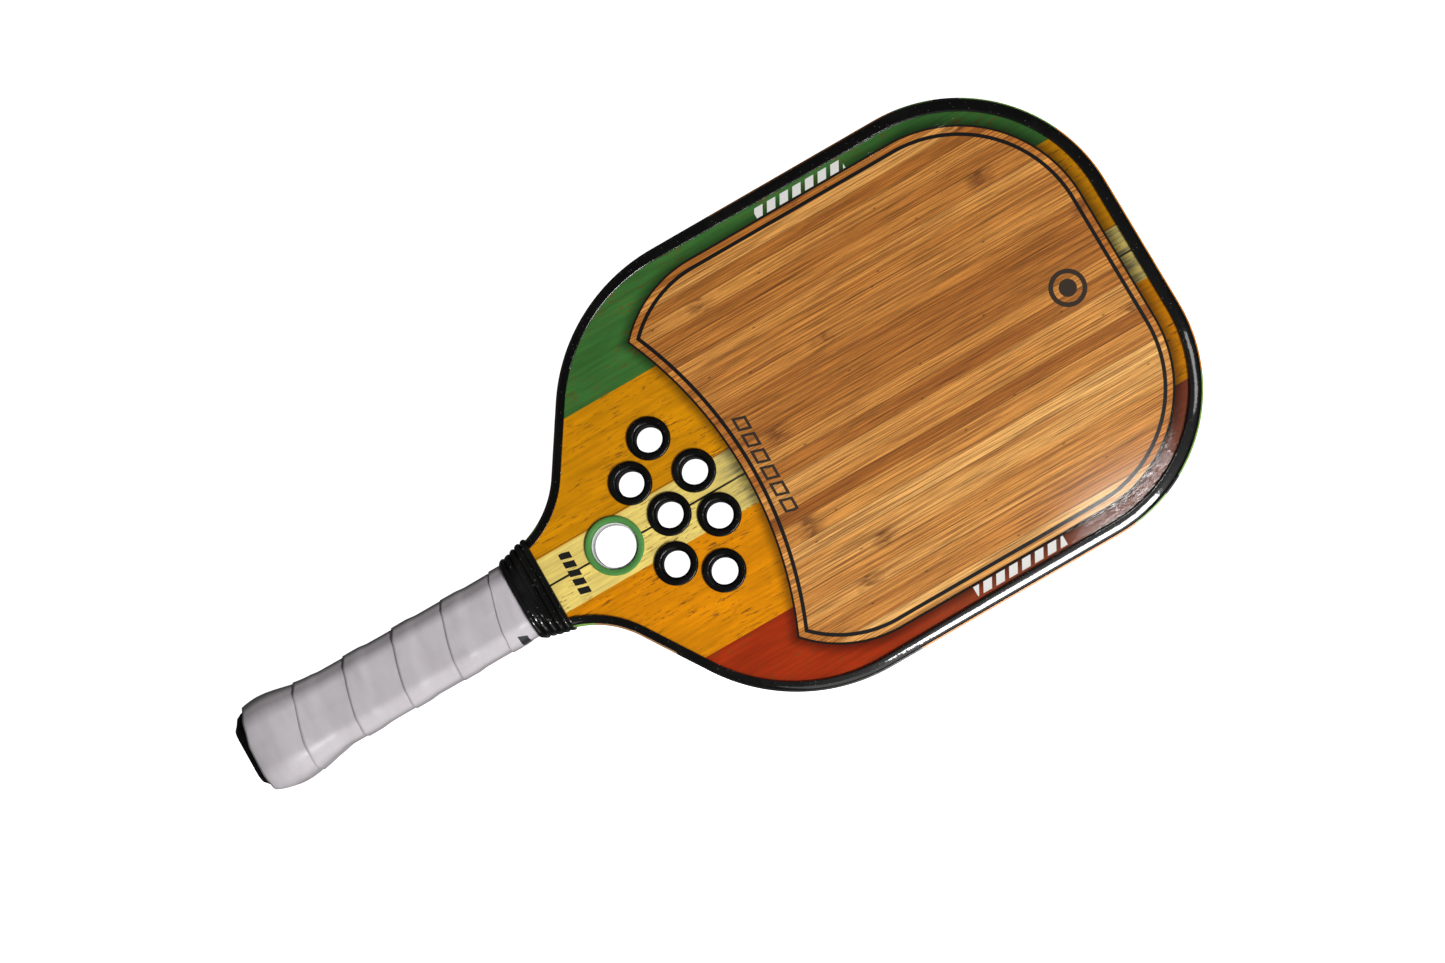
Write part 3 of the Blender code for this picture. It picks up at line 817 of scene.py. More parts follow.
    all_marks.label = "ring, dot and bars"
    all_marks.operation = "MAXIMUM"
    marked = nodes.new("ShaderNodeMix")
    marked.label = "dark ink"
    marked.data_type = "RGBA"
    marked.inputs[COLOR_B].default_value = (0.035, 0.022, 0.014, 1)

    # finish
    gloss = nodes.new("ShaderNodeMapRange")
    gloss.label = "fibres break up the gloss"
    gloss.inputs["To Min"].default_value = 0.42
    gloss.inputs["To Max"].default_value = 0.58
    relief = nodes.new("ShaderNodeBump")
    relief.label = "grain felt through the coat"
    relief.inputs["Strength"].default_value = 0.18
    relief.inputs["Distance"].default_value = 0.05 * MM
    surface = nodes.new("ShaderNodeBsdfPrincipled")
    surface.label = "clear-coated bamboo"
    surface.inputs["Coat Weight"].default_value = 0.35
    surface.inputs["Coat Roughness"].default_value = 0.10
    surface.inputs["Specular IOR Level"].default_value = 0.18
    output = nodes.new("ShaderNodeOutputMaterial")
    output.label = "bamboo"

    frame_up(
        nodes,
        {
            "Strips": [
                place, split, wander_size, wander, wander_amount, strip_x, strips, joints, joint_width,
                strip_values,
            ],
            "Tone": [drift_size, drift, tone, painted_shade, tones],
            "Fibres and streaks": [
                fibre_size, fibres, fibre_shade, streak_size, streaks, streak_mask, streaked,
            ],
            "Knuckles": [
                ragged_size, ragged, ragged_amount, knuckle_phase, knuckle_wave, knuckle_far, knuckle_near,
                knuckle_mask, knuckle_some, knuckle_grain, knuckle_band, knuckle_shown, knuckled,
            ],
            "Pinholes and shading": [pin_size, pins, pin_mask, fibre_joint, shade, shaded],
            "Printed line and border": [
                outside, line_centre, line_far, line_mask, border_mask, bordered, lined,
            ],
            "Ring and dot": [faced, ring_far, ring, dot, marks],
            "Bars": [
                bar_lean, bar_step, bar_wave, bar_wide, bar_high, bar_tall, bar_row, bars, all_marks,
                marked,
            ],
            "Bare middles": [bare_wide, bare_high, bare, outlined],
            "Finish": [gloss, relief, surface, output],
        },
    )

    links.new(place.outputs["Object"], split.inputs["Vector"])
    links.new(place.outputs["Object"], wander_size.inputs["Vector"])
    links.new(wander_size.outputs["Vector"], wander.inputs["Vector"])
    links.new(wander.outputs["Fac"], wander_amount.inputs[0])
    links.new(wander_amount.outputs["Value"], strip_x.inputs[0])
    links.new(split.outputs["X"], strip_x.inputs[1])
    links.new(strip_x.outputs["Value"], strips.inputs["W"])
    links.new(strip_x.outputs["Value"], joints.inputs["W"])
    links.new(joints.outputs["Distance"], joint_width.inputs["Value"])
    links.new(strips.outputs["Color"], strip_values.inputs["Color"])
    links.new(place.outputs["Object"], drift_size.inputs["Vector"])
    links.new(drift_size.outputs["Vector"], drift.inputs["Vector"])
    links.new(strip_values.outputs["Red"], tone.inputs["A"])
    links.new(drift.outputs["Fac"], tone.inputs["B"])
    links.new(split.outputs["X"], painted_shade.inputs[0])
    links.new(tone.outputs["Result"], painted_shade.inputs[2])
    links.new(painted_shade.outputs["Value"], tones.inputs["Fac"])
    links.new(place.outputs["Object"], fibre_size.inputs["Vector"])
    links.new(fibre_size.outputs["Vector"], fibres.inputs["Vector"])
    links.new(fibres.outputs["Fac"], fibre_shade.inputs["Value"])
    links.new(place.outputs["Object"], streak_size.inputs["Vector"])
    links.new(streak_size.outputs["Vector"], streaks.inputs["Vector"])
    links.new(streaks.outputs["Fac"], streak_mask.inputs["Value"])
    links.new(streak_mask.outputs["Result"], streaked.inputs["Factor"])
    links.new(tones.outputs["Color"], streaked.inputs[COLOR_A])
    links.new(place.outputs["Object"], ragged_size.inputs["Vector"])
    links.new(ragged_size.outputs["Vector"], ragged.inputs["Vector"])
    links.new(ragged.outputs["Fac"], ragged_amount.inputs[0])
    links.new(strip_values.outputs["Green"], ragged_amount.inputs[2])
    links.new(split.outputs["Y"], knuckle_phase.inputs[0])
    links.new(ragged_amount.outputs["Value"], knuckle_phase.inputs[2])
    links.new(knuckle_phase.outputs["Value"], knuckle_wave.inputs[0])
    links.new(knuckle_wave.outputs["Value"], knuckle_far.inputs[0])
    links.new(knuckle_far.outputs["Value"], knuckle_near.inputs[0])
    links.new(knuckle_near.outputs["Value"], knuckle_mask.inputs["Value"])
    links.new(strip_values.outputs["Blue"], knuckle_some.inputs["Value"])
    links.new(ragged.outputs["Fac"], knuckle_grain.inputs["Value"])
    links.new(knuckle_mask.outputs["Result"], knuckle_band.inputs[0])
    links.new(knuckle_grain.outputs["Result"], knuckle_band.inputs[1])
    links.new(knuckle_band.outputs["Value"], knuckle_shown.inputs[0])
    links.new(knuckle_some.outputs["Result"], knuckle_shown.inputs[1])
    links.new(knuckle_shown.outputs["Value"], knuckled.inputs["Factor"])
    links.new(streaked.outputs[COLOR_MIXED], knuckled.inputs[COLOR_A])
    links.new(place.outputs["Object"], pin_size.inputs["Vector"])
    links.new(pin_size.outputs["Vector"], pins.inputs["Vector"])
    links.new(pins.outputs["Distance"], pin_mask.inputs["Value"])
    links.new(fibre_shade.outputs["Result"], fibre_joint.inputs[0])
    links.new(joint_width.outputs["Result"], fibre_joint.inputs[1])
    links.new(fibre_joint.outputs["Value"], shade.inputs[0])
    links.new(pin_mask.outputs["Result"], shade.inputs[1])
    links.new(knuckled.outputs[COLOR_MIXED], shaded.inputs[0])
    links.new(shade.outputs["Value"], shaded.inputs["Scale"])
    links.new(place.outputs["Object"], outside.inputs["Place"])
    links.new(outside.outputs["Distance"], line_centre.inputs[0])
    links.new(line_centre.outputs["Value"], line_far.inputs[0])
    links.new(line_far.outputs["Value"], line_mask.inputs["Value"])
    links.new(outside.outputs["Distance"], border_mask.inputs["Value"])
    links.new(border_mask.outputs["Result"], bordered.inputs["Factor"])
    links.new(shaded.outputs["Vector"], bordered.inputs[COLOR_A])
    links.new(line_mask.outputs["Result"], lined.inputs["Factor"])
    links.new(bordered.outputs[COLOR_MIXED], lined.inputs[COLOR_A])
    links.new(place.outputs["Object"], faced.inputs["Vector"])
    links.new(faced.outputs["Vector"], ring_far.inputs[0])
    links.new(ring_far.outputs["Value"], ring.inputs[0])
    links.new(ring_far.outputs["Value"], dot.inputs[0])
    links.new(ring.outputs["Value"], marks.inputs[0])
    links.new(dot.outputs["Value"], marks.inputs[1])
    links.new(split.outputs["Y"], bar_lean.inputs[0])
    links.new(split.outputs["X"], bar_lean.inputs[2])
    links.new(bar_lean.outputs["Value"], bar_step.inputs[0])
    links.new(bar_step.outputs["Value"], bar_wave.inputs[0])
    links.new(bar_wave.outputs["Value"], bar_wide.inputs[0])
    links.new(split.outputs["Y"], bar_high.inputs[0])
    links.new(split.outputs["X"], bar_row.inputs[0])
    links.new(bar_wide.outputs["Value"], bar_tall.inputs[0])
    links.new(bar_high.outputs["Value"], bar_tall.inputs[1])
    links.new(bar_wave.outputs["Value"], bare_wide.inputs[0])
    links.new(split.outputs["Y"], bare_high.inputs[0])
    links.new(bare_wide.outputs["Value"], bare.inputs[0])
    links.new(bare_high.outputs["Value"], bare.inputs[1])
    links.new(bar_tall.outputs["Value"], outlined.inputs[0])
    links.new(bare.outputs["Value"], outlined.inputs[1])
    links.new(outlined.outputs["Value"], bars.inputs[0])
    links.new(bar_row.outputs["Value"], bars.inputs[1])
    links.new(marks.outputs["Value"], all_marks.inputs[0])
    links.new(bars.outputs["Value"], all_marks.inputs[1])
    links.new(all_marks.outputs["Value"], marked.inputs["Factor"])
    links.new(lined.outputs[COLOR_MIXED], marked.inputs[COLOR_A])
    links.new(marked.outputs[COLOR_MIXED], surface.inputs["Base Color"])
    links.new(fibres.outputs["Fac"], gloss.inputs["Value"])
    links.new(gloss.outputs["Result"], surface.inputs["Roughness"])
    links.new(fibres.outputs["Fac"], relief.inputs["Height"])
    links.new(relief.outputs["Normal"], surface.inputs["Normal"])
    links.new(surface.outputs["BSDF"], output.inputs["Surface"])
    return material


def share_of_width(across):
    """Where a place across the paddle is, as a share of its width."""
    return 0.5 + across / (2 * HALF_WIDTH)


def striped_print(name, window, hand):
    """Glossy print in lengthwise stripes, distressed like old paint, with a soft dark shade round the window.
    The hand is -1 on the back face, so that the stripes come in the same order to who looks at it."""
    material = bpy.data.materials.new(name)
    material.use_nodes = True
    nodes, links = material.node_tree.nodes, material.node_tree.links
    nodes.clear()

    place = nodes.new("ShaderNodeTexCoord")
    place.label = "place on the paddle"
    turned_over = nodes.new("ShaderNodeMapping")
    turned_over.label = "the same way round on both faces"
    turned_over.inputs["Scale"].default_value = (hand, 1.0, 1.0)
    split = nodes.new("ShaderNodeSeparateXYZ")
    split.label = "across and along"

    # stripes
    share_across = nodes.new("ShaderNodeMapRange")
    share_across.label = "share of the width"
    share_across.inputs["From Min"].default_value = -HALF_WIDTH
    share_across.inputs["From Max"].default_value = HALF_WIDTH
    stripes = nodes.new("ShaderNodeValToRGB")
    stripes.label = "green, yellow, cream, yellow and red"
    stripes.color_ramp.interpolation = "CONSTANT"
    ramp = stripes.color_ramp.elements
    ramp[0].position, ramp[0].color = 0.0, (0.048, 0.175, 0.034, 1)
    ramp[1].position, ramp[1].color = share_of_width(YELLOW_TO_RED), (0.40, 0.032, 0.004, 1)
    ramp.new(share_of_width(GREEN_TO_YELLOW)).color = (0.72, 0.285, 0.0, 1)
    ramp.new(share_of_width(YELLOW_TO_CREAM)).color = (0.97, 0.75, 0.20, 1)
    ramp.new(share_of_width(CREAM_TO_YELLOW)).color = (0.80, 0.275, 0.0, 1)
    red_end = nodes.new("ShaderNodeMapRange")
    red_end.label = "red dulls towards the top"
    red_end.inputs["From Min"].default_value = BUTT + 238 * MM
    red_end.inputs["From Max"].default_value = BUTT + 300 * MM
    red_end.inputs["To Max"].default_value = 0.72
    red_side = nodes.new("ShaderNodeMath")
    red_side.label = "on the red stripe only"
    red_side.operation = "GREATER_THAN"
    red_side.inputs[1].default_value = share_of_width(YELLOW_TO_RED)
    red_dull = nodes.new("ShaderNodeMath")
    red_dull.label = "where the red is dull"
    red_dull.operation = "MULTIPLY"
    dulled = nodes.new("ShaderNodeMix")
    dulled.label = "brownish red"
    dulled.data_type = "RGBA"
    dulled.inputs[COLOR_B].default_value = (0.23, 0.072, 0.034, 1)
    top_shade = nodes.new("ShaderNodeMapRange")
    top_shade.label = "darker towards the top"
    top_shade.inputs["From Min"].default_value = BUTT + 300 * MM
    top_shade.inputs["From Max"].default_value = BUTT + 385 * MM
    top_shade.inputs["To Min"].default_value = 1.0
    top_shade.inputs["To Max"].default_value = 0.66
    topped = nodes.new("ShaderNodeMath")
    topped.label = "paint and the shade at the top"
    topped.operation = "MULTIPLY"

    # paint texture
    brush_size = nodes.new("ShaderNodeMapping")
    brush_size.label = "brush marks run lengthwise"
    brush_size.inputs["Scale"].default_value = (520.0, 24.0, 1.0)
    brush = nodes.new("ShaderNodeTexNoise")
    brush.label = "brush marks"
    brush.inputs["Scale"].default_value = 1.0
    brush.inputs["Detail"].default_value = 4.0
    brush.inputs["Roughness"].default_value = 0.7
    brush_shade = nodes.new("ShaderNodeMapRange")
    brush_shade.label = "light and dark brush marks"
    brush_shade.inputs["From Min"].default_value = 0.3
    brush_shade.inputs["From Max"].default_value = 0.7
    brush_shade.inputs["To Min"].default_value = 0.74
    brush_shade.inputs["To Max"].default_value = 1.17
    blotch_size = nodes.new("ShaderNodeMapping")
    blotch_size.label = "size of the blotches"
    blotch_size.inputs["Scale"].default_value = (75.0, 38.0, 1.0)
    blotches = nodes.new("ShaderNodeTexNoise")
    blotches.label = "faded blotches"
    blotches.inputs["Scale"].default_value = 1.0
    blotches.inputs["Detail"].default_value = 3.0
    blotch_shade = nodes.new("ShaderNodeMapRange")
    blotch_shade.label = "how much they fade"
    blotch_shade.inputs["From Min"].default_value = 0.3
    blotch_shade.inputs["From Max"].default_value = 0.7
    blotch_shade.inputs["To Min"].default_value = 0.86
    blotch_shade.inputs["To Max"].default_value = 1.1
    crack_size = nodes.new("ShaderNodeMapping")
    crack_size.label = "cracks run lengthwise"
    crack_size.inputs["Scale"].default_value = (1100.0, 150.0, 1.0)
    cracks = nodes.new("ShaderNodeTexNoise")
    cracks.label = "cracks and chips"
    cracks.inputs["Scale"].default_value = 1.0
    cracks.inputs["Detail"].default_value = 4.0
    cracks.inputs["Roughness"].default_value = 0.7
    crack_mask = nodes.new("ShaderNodeMapRange")
    crack_mask.label = "only the deepest cracks"
    crack_mask.inputs["From Min"].default_value = 0.55
    crack_mask.inputs["From Max"].default_value = 0.62
    crack_places = nodes.new("ShaderNodeMapRange")
    crack_places.label = "cracks come in patches"
    crack_places.inputs["From Min"].default_value = 0.42
    crack_places.inputs["From Max"].default_value = 0.60
    crack_places.inputs["To Min"].default_value = 0.08
    crack_places.inputs["To Max"].default_value = 0.9
    cracked = nodes.new("ShaderNodeMath")
    cracked.label = "cracks that show"
    cracked.operation = "MULTIPLY"
    paint_shade = nodes.new("ShaderNodeMath")
    paint_shade.label = "brush marks and blotches"
    paint_shade.operation = "MULTIPLY"
    aged = nodes.new("ShaderNodeMix")
    aged.label = "brown wood in the cracks"
    aged.data_type = "RGBA"
    aged.inputs[COLOR_B].default_value = (0.16, 0.060, 0.008, 1)

    # lines
    centre_line = nodes.new("ShaderNodeMath")
    centre_line.label = "line down the middle"
    centre_line.operation = "COMPARE"
    centre_line.inputs[1].default_value = 0.9 * MM
    centre_line.inputs[2].default_value = 0.42 * MM
    cream_line = nodes.new("ShaderNodeMath")
    cream_line.label = "fine line beside the cream"
    cream_line.operation = "COMPARE"
    cream_line.inputs[1].default_value = YELLOW_TO_CREAM
    cream_line.inputs[2].default_value = 0.16 * MM
    cream_faint = nodes.new("ShaderNodeMath")
    cream_faint.label = "fainter than the middle line"
    cream_faint.operation = "MULTIPLY"
    cream_faint.inputs[1].default_value = 0.75
    both_lines = nodes.new("ShaderNodeMath")
    both_lines.label = "both lines"
    both_lines.operation = "MAXIMUM"
    lined = nodes.new("ShaderNodeMix")
    lined.label = "dark lines"
    lined.data_type = "RGBA"
    lined.inputs[COLOR_B].default_value = (0.016, 0.020, 0.012, 1)

    # shade round the window
    outside = nodes.new("ShaderNodeGroup")
    outside.label = "distance from the window's edge"
    outside.node_tree = window
    window_shade = nodes.new("ShaderNodeMapRange")
    window_shade.label = "soft shade round the window"
    window_shade.interpolation_type = "SMOOTHSTEP"
    window_shade.inputs["From Min"].default_value = 0.2 * MM
    window_shade.inputs["From Max"].default_value = 6.0 * MM
    window_shade.inputs["To Min"].default_value = 0.30
    smudge_mask = nodes.new("ShaderNodeMapRange")
    smudge_mask.label = "worn near the sill"
    smudge_mask.inputs["From Min"].default_value = 3.0 * MM
    smudge_mask.inputs["From Max"].default_value = 15.0 * MM
    smudge_mask.inputs["To Min"].default_value = 0.9
    smudge_mask.inputs["To Max"].default_value = 0.0
    cream_zone = nodes.new("ShaderNodeMath")
    cream_zone.label = "on the cream stripe"
    cream_zone.operation = "COMPARE"
    cream_zone.inputs[1].default_value = (YELLOW_TO_CREAM + CREAM_TO_YELLOW) / 2
    cream_zone.inputs[2].default_value = (CREAM_TO_YELLOW - YELLOW_TO_CREAM) / 2
    smudge_blotch = nodes.new("ShaderNodeMapRange")
    smudge_blotch.label = "patchy wear"
    smudge_blotch.inputs["From Min"].default_value = 0.40
    smudge_blotch.inputs["From Max"].default_value = 0.60
    smudge_zone = nodes.new("ShaderNodeMath")
    smudge_zone.label = "wear on the cream"
    smudge_zone.operation = "MULTIPLY"
    smudge = nodes.new("ShaderNodeMath")
    smudge.label = "all the wear"
    smudge.operation = "MULTIPLY"
    smudged = nodes.new("ShaderNodeMix")
    smudged.label = "grey wear"
    smudged.data_type = "RGBA"
    smudged.inputs[COLOR_B].default_value = (0.16, 0.145, 0.085, 1)
    all_shade = nodes.new("ShaderNodeMath")
    all_shade.label = "paint and window shade"
    all_shade.operation = "MULTIPLY"
    shaded = nodes.new("ShaderNodeVectorMath")
    shaded.label = "shaded print"
    shaded.operation = "SCALE"
    edge_line = nodes.new("ShaderNodeMath")
    edge_line.label = "black line at the window's edge"
    edge_line.operation = "LESS_THAN"
    edge_line.inputs[1].default_value = 0.85 * MM
    edged = nodes.new("ShaderNodeMix")
    edged.label = "black edge line"
    edged.data_type = "RGBA"
    edged.inputs[COLOR_B].default_value = (0.012, 0.009, 0.007, 1)

    # marks
    slant = nodes.new("ShaderNodeMath")
    slant.label = "bars lean across the strip"
    slant.operation = "MULTIPLY_ADD"
    slant.inputs[1].default_value = 0.55
    bar_step = nodes.new("ShaderNodeMath")
    bar_step.label = "one step for each white bar"
    bar_step.operation = "MULTIPLY"
    bar_step.inputs[1].default_value = 1 / (5.8 * MM)
    bar_wave = nodes.new("ShaderNodeMath")
    bar_wave.label = "place in the step"
    bar_wave.operation = "FRACT"
    bar_on = nodes.new("ShaderNodeMath")
    bar_on.label = "white bar, and not the gap"
    bar_on.operation = "LESS_THAN"
    bar_on.inputs[1].default_value = 0.66
    side_box_x = nodes.new("ShaderNodeMath")
    side_box_x.label = "between window and guard"
    side_box_x.operation = "COMPARE"
    side_box_x.inputs[1].default_value = 86.3 * MM
    side_box_x.inputs[2].default_value = 2.0 * MM
    side_box_y = nodes.new("ShaderNodeMath")
    side_box_y.label = "halfway up the sides"
    side_box_y.operation = "COMPARE"
    side_box_y.inputs[1].default_value = BUTT + 300 * MM
    side_box_y.inputs[2].default_value = 20.2 * MM
    either_side = nodes.new("ShaderNodeMath")
    either_side.label = "either side alike"
    either_side.operation = "ABSOLUTE"
    side_box = nodes.new("ShaderNodeMath")
    side_box.label = "inside the side marks"
    side_box.operation = "MULTIPLY"
    side_bars = nodes.new("ShaderNodeMath")
    side_bars.label = "white bars at the sides"
    side_bars.operation = "MULTIPLY"
    whited = nodes.new("ShaderNodeMix")
    whited.label = "white ink"
    whited.data_type = "RGBA"
    whited.inputs[COLOR_B].default_value = (0.80, 0.79, 0.76, 1)
    throat_lean = nodes.new("ShaderNodeMath")
    throat_lean.label = "throat bars lean"
    throat_lean.operation = "MULTIPLY_ADD"
    throat_lean.inputs[1].default_value = -0.28
    throat_step = nodes.new("ShaderNodeMath")
    throat_step.label = "one step for each throat bar"
    throat_step.operation = "DIVIDE"
    throat_step.inputs[1].default_value = 3.9 * MM
    throat_wave = nodes.new("ShaderNodeMath")
    throat_wave.label = "place in the step"
    throat_wave.operation = "FRACT"
    throat_on = nodes.new("ShaderNodeMath")
    throat_on.label = "throat bar, and not the gap"
    throat_on.operation = "LESS_THAN"
    throat_on.inputs[1].default_value = 0.7
    throat_high = nodes.new("ShaderNodeMath")
    throat_high.label = "height of the throat bars"
    throat_high.operation = "COMPARE"
    throat_high.inputs[1].default_value = BUTT + 147.5 * MM
    throat_high.inputs[2].default_value = 2.3 * MM
    throat_row = nodes.new("ShaderNodeMath")
    throat_row.label = "length of their row"
    throat_row.operation = "COMPARE"
    throat_row.inputs[1].default_value = 1.5 * MM
    throat_row.inputs[2].default_value = 9.5 * MM
    throat_tall = nodes.new("ShaderNodeMath")
    throat_tall.label = "bars of that height"
    throat_tall.operation = "MULTIPLY"
    throat_marks = nodes.new("ShaderNodeMath")
    throat_marks.label = "black bars by the collar"
    throat_marks.operation = "MULTIPLY"
    inked = nodes.new("ShaderNodeMix")
    inked.label = "black ink"
    inked.data_type = "RGBA"
    inked.inputs[COLOR_B].default_value = (0.014, 0.014, 0.012, 1)

    # finish
    waviness = nodes.new("ShaderNodeTexNoise")
    waviness.label = "the film isn't quite flat"
    waviness.inputs["Scale"].default_value = 55.0
    relief = nodes.new("ShaderNodeBump")
    relief.label = "soft waves in the film"
    relief.inputs["Strength"].default_value = 0.2
    relief.inputs["Distance"].default_value = 0.12 * MM
    brushed_relief = nodes.new("ShaderNodeBump")
    brushed_relief.label = "brush marks felt through the film"
    brushed_relief.inputs["Strength"].default_value = 0.9
    brushed_relief.inputs["Distance"].default_value = 0.16 * MM
    gloss = nodes.new("ShaderNodeMapRange")
    gloss.label = "gloss scuffed by the paint"
    gloss.inputs["To Min"].default_value = 0.38
    gloss.inputs["To Max"].default_value = 0.55
    surface = nodes.new("ShaderNodeBsdfPrincipled")
    surface.label = "glossy printed film"
    surface.inputs["Specular IOR Level"].default_value = 0.03
    surface.inputs["Coat Weight"].default_value = 1.0
    surface.inputs["Coat Roughness"].default_value = 0.055
    output = nodes.new("ShaderNodeOutputMaterial")
    output.label = "striped film"

    frame_up(
        nodes,
        {
            "Stripes": [place, turned_over, split, share_across, stripes],
            "Darker top": [red_end, red_side, red_dull, dulled, top_shade, topped],
            "Brush marks and blotches": [
                brush_size, brush, brush_shade, blotch_size, blotches, blotch_shade, paint_shade,
            ],
            "Cracks": [crack_size, cracks, crack_mask, crack_places, cracked, aged],
            "Printed lines": [centre_line, cream_line, cream_faint, both_lines, lined],
            "Shade round the window": [
                outside, window_shade, smudge_mask, cream_zone, smudge_blotch, smudge_zone, smudge,
                smudged, all_shade, shaded, edge_line, edged,
            ],
            "White bars": [
                slant, bar_step, bar_wave, bar_on, either_side, side_box_x, side_box_y, side_box,
                side_bars, whited,
            ],
            "Black bars": [
                throat_lean, throat_step, throat_wave, throat_on, throat_high, throat_row, throat_tall,
                throat_marks, inked,
            ],
            "Finish": [waviness, relief, brushed_relief, gloss, surface, output],
        },
    )

    links.new(place.outputs["Object"], turned_over.inputs["Vector"])
    links.new(turned_over.outputs["Vector"], split.inputs["Vector"])
    links.new(split.outputs["X"], share_across.inputs["Value"])
    links.new(share_across.outputs["Result"], stripes.inputs["Fac"])
    links.new(split.outputs["Y"], red_end.inputs["Value"])
    links.new(share_across.outputs["Result"], red_side.inputs[0])
    links.new(red_end.outputs["Result"], red_dull.inputs[0])
    links.new(red_side.outputs["Value"], red_dull.inputs[1])
    links.new(red_dull.outputs["Value"], dulled.inputs["Factor"])
    links.new(stripes.outputs["Color"], dulled.inputs[COLOR_A])
    links.new(turned_over.outputs["Vector"], brush_size.inputs["Vector"])
    links.new(brush_size.outputs["Vector"], brush.inputs["Vector"])
    links.new(brush.outputs["Fac"], brush_shade.inputs["Value"])
    links.new(turned_over.outputs["Vector"], blotch_size.inputs["Vector"])
    links.new(blotch_size.outputs["Vector"], blotches.inputs["Vector"])
    links.new(blotches.outputs["Fac"], blotch_shade.inputs["Value"])
    links.new(brush_shade.outputs["Result"], paint_shade.inputs[0])
    links.new(blotch_shade.outputs["Result"], paint_shade.inputs[1])
    links.new(turned_over.outputs["Vector"], crack_size.inputs["Vector"])
    links.new(crack_size.outputs["Vector"], cracks.inputs["Vector"])
    links.new(cracks.outputs["Fac"], crack_mask.inputs["Value"])
    links.new(blotches.outputs["Fac"], crack_places.inputs["Value"])
    links.new(crack_mask.outputs["Result"], cracked.inputs[0])
    links.new(crack_places.outputs["Result"], cracked.inputs[1])
    links.new(cracked.outputs["Value"], aged.inputs["Factor"])
    links.new(dulled.outputs[COLOR_MIXED], aged.inputs[COLOR_A])
    links.new(split.outputs["X"], centre_line.inputs[0])
    links.new(split.outputs["X"], cream_line.inputs[0])
    links.new(cream_line.outputs["Value"], cream_faint.inputs[0])
    links.new(centre_line.outputs["Value"], both_lines.inputs[0])
    links.new(cream_faint.outputs["Value"], both_lines.inputs[1])
    links.new(both_lines.outputs["Value"], lined.inputs["Factor"])
    links.new(aged.outputs[COLOR_MIXED], lined.inputs[COLOR_A])
    links.new(place.outputs["Object"], outside.inputs["Place"])
    links.new(outside.outputs["Distance"], window_shade.inputs["Value"])
    links.new(outside.outputs["Distance"], smudge_mask.inputs["Value"])
    links.new(split.outputs["X"], cream_zone.inputs[0])
    links.new(brush.outputs["Fac"], smudge_blotch.inputs["Value"])
    links.new(smudge_mask.outputs["Result"], smudge_zone.inputs[0])
    links.new(cream_zone.outputs["Value"], smudge_zone.inputs[1])
    links.new(smudge_zone.outputs["Value"], smudge.inputs[0])
    links.new(smudge_blotch.outputs["Result"], smudge.inputs[1])
    links.new(smudge.outputs["Value"], smudged.inputs["Factor"])
    links.new(lined.outputs[COLOR_MIXED], smudged.inputs[COLOR_A])
    links.new(split.outputs["Y"], top_shade.inputs["Value"])
    links.new(paint_shade.outputs["Value"], topped.inputs[0])
    links.new(top_shade.outputs["Result"], topped.inputs[1])
    links.new(topped.outputs["Value"], all_shade.inputs[0])
    links.new(window_shade.outputs["Result"], all_shade.inputs[1])
    links.new(smudged.outputs[COLOR_MIXED], shaded.inputs[0])
    links.new(all_shade.outputs["Value"], shaded.inputs["Scale"])
    links.new(outside.outputs["Distance"], edge_line.inputs[0])
    links.new(edge_line.outputs["Value"], edged.inputs["Factor"])
    links.new(shaded.outputs["Vector"], edged.inputs[COLOR_A])
    links.new(split.outputs["X"], either_side.inputs[0])
    links.new(split.outputs["X"], slant.inputs[0])
    links.new(split.outputs["Y"], slant.inputs[2])
    links.new(slant.outputs["Value"], bar_step.inputs[0])
    links.new(bar_step.outputs["Value"], bar_wave.inputs[0])
    links.new(bar_wave.outputs["Value"], bar_on.inputs[0])
    links.new(either_side.outputs["Value"], side_box_x.inputs[0])
    links.new(split.outputs["Y"], side_box_y.inputs[0])
    links.new(side_box_x.outputs["Value"], side_box.inputs[0])
    links.new(side_box_y.outputs["Value"], side_box.inputs[1])
    links.new(side_box.outputs["Value"], side_bars.inputs[0])
    links.new(bar_on.outputs["Value"], side_bars.inputs[1])
    links.new(side_bars.outputs["Value"], whited.inputs["Factor"])
    links.new(edged.outputs[COLOR_MIXED], whited.inputs[COLOR_A])
    links.new(split.outputs["Y"], throat_lean.inputs[0])
    links.new(split.outputs["X"], throat_lean.inputs[2])
    links.new(throat_lean.outputs["Value"], throat_step.inputs[0])
    links.new(throat_step.outputs["Value"], throat_wave.inputs[0])
    links.new(throat_wave.outputs["Value"], throat_on.inputs[0])
    links.new(split.outputs["Y"], throat_high.inputs[0])
    links.new(split.outputs["X"], throat_row.inputs[0])
    links.new(throat_on.outputs["Value"], throat_tall.inputs[0])
    links.new(throat_high.outputs["Value"], throat_tall.inputs[1])
    links.new(throat_tall.outputs["Value"], throat_marks.inputs[0])
    links.new(throat_row.outputs["Value"], throat_marks.inputs[1])
    links.new(throat_marks.outputs["Value"], inked.inputs["Factor"])
    links.new(whited.outputs[COLOR_MIXED], inked.inputs[COLOR_A])
    links.new(inked.outputs[COLOR_MIXED], surface.inputs["Base Color"])
    links.new(place.outputs["Object"], waviness.inputs["Vector"])
    links.new(waviness.outputs["Fac"], relief.inputs["Height"])
    links.new(brush.outputs["Fac"], brushed_relief.inputs["Height"])
    links.new(relief.outputs["Normal"], brushed_relief.inputs["Normal"])
    links.new(relief.outputs["Normal"], surface.inputs["Normal"])
    links.new(brushed_relief.outputs["Normal"], surface.inputs["Coat Normal"])
    links.new(brush.outputs["Fac"], gloss.inputs["Value"])
    links.new(gloss.outputs["Result"], surface.inputs["Roughness"])
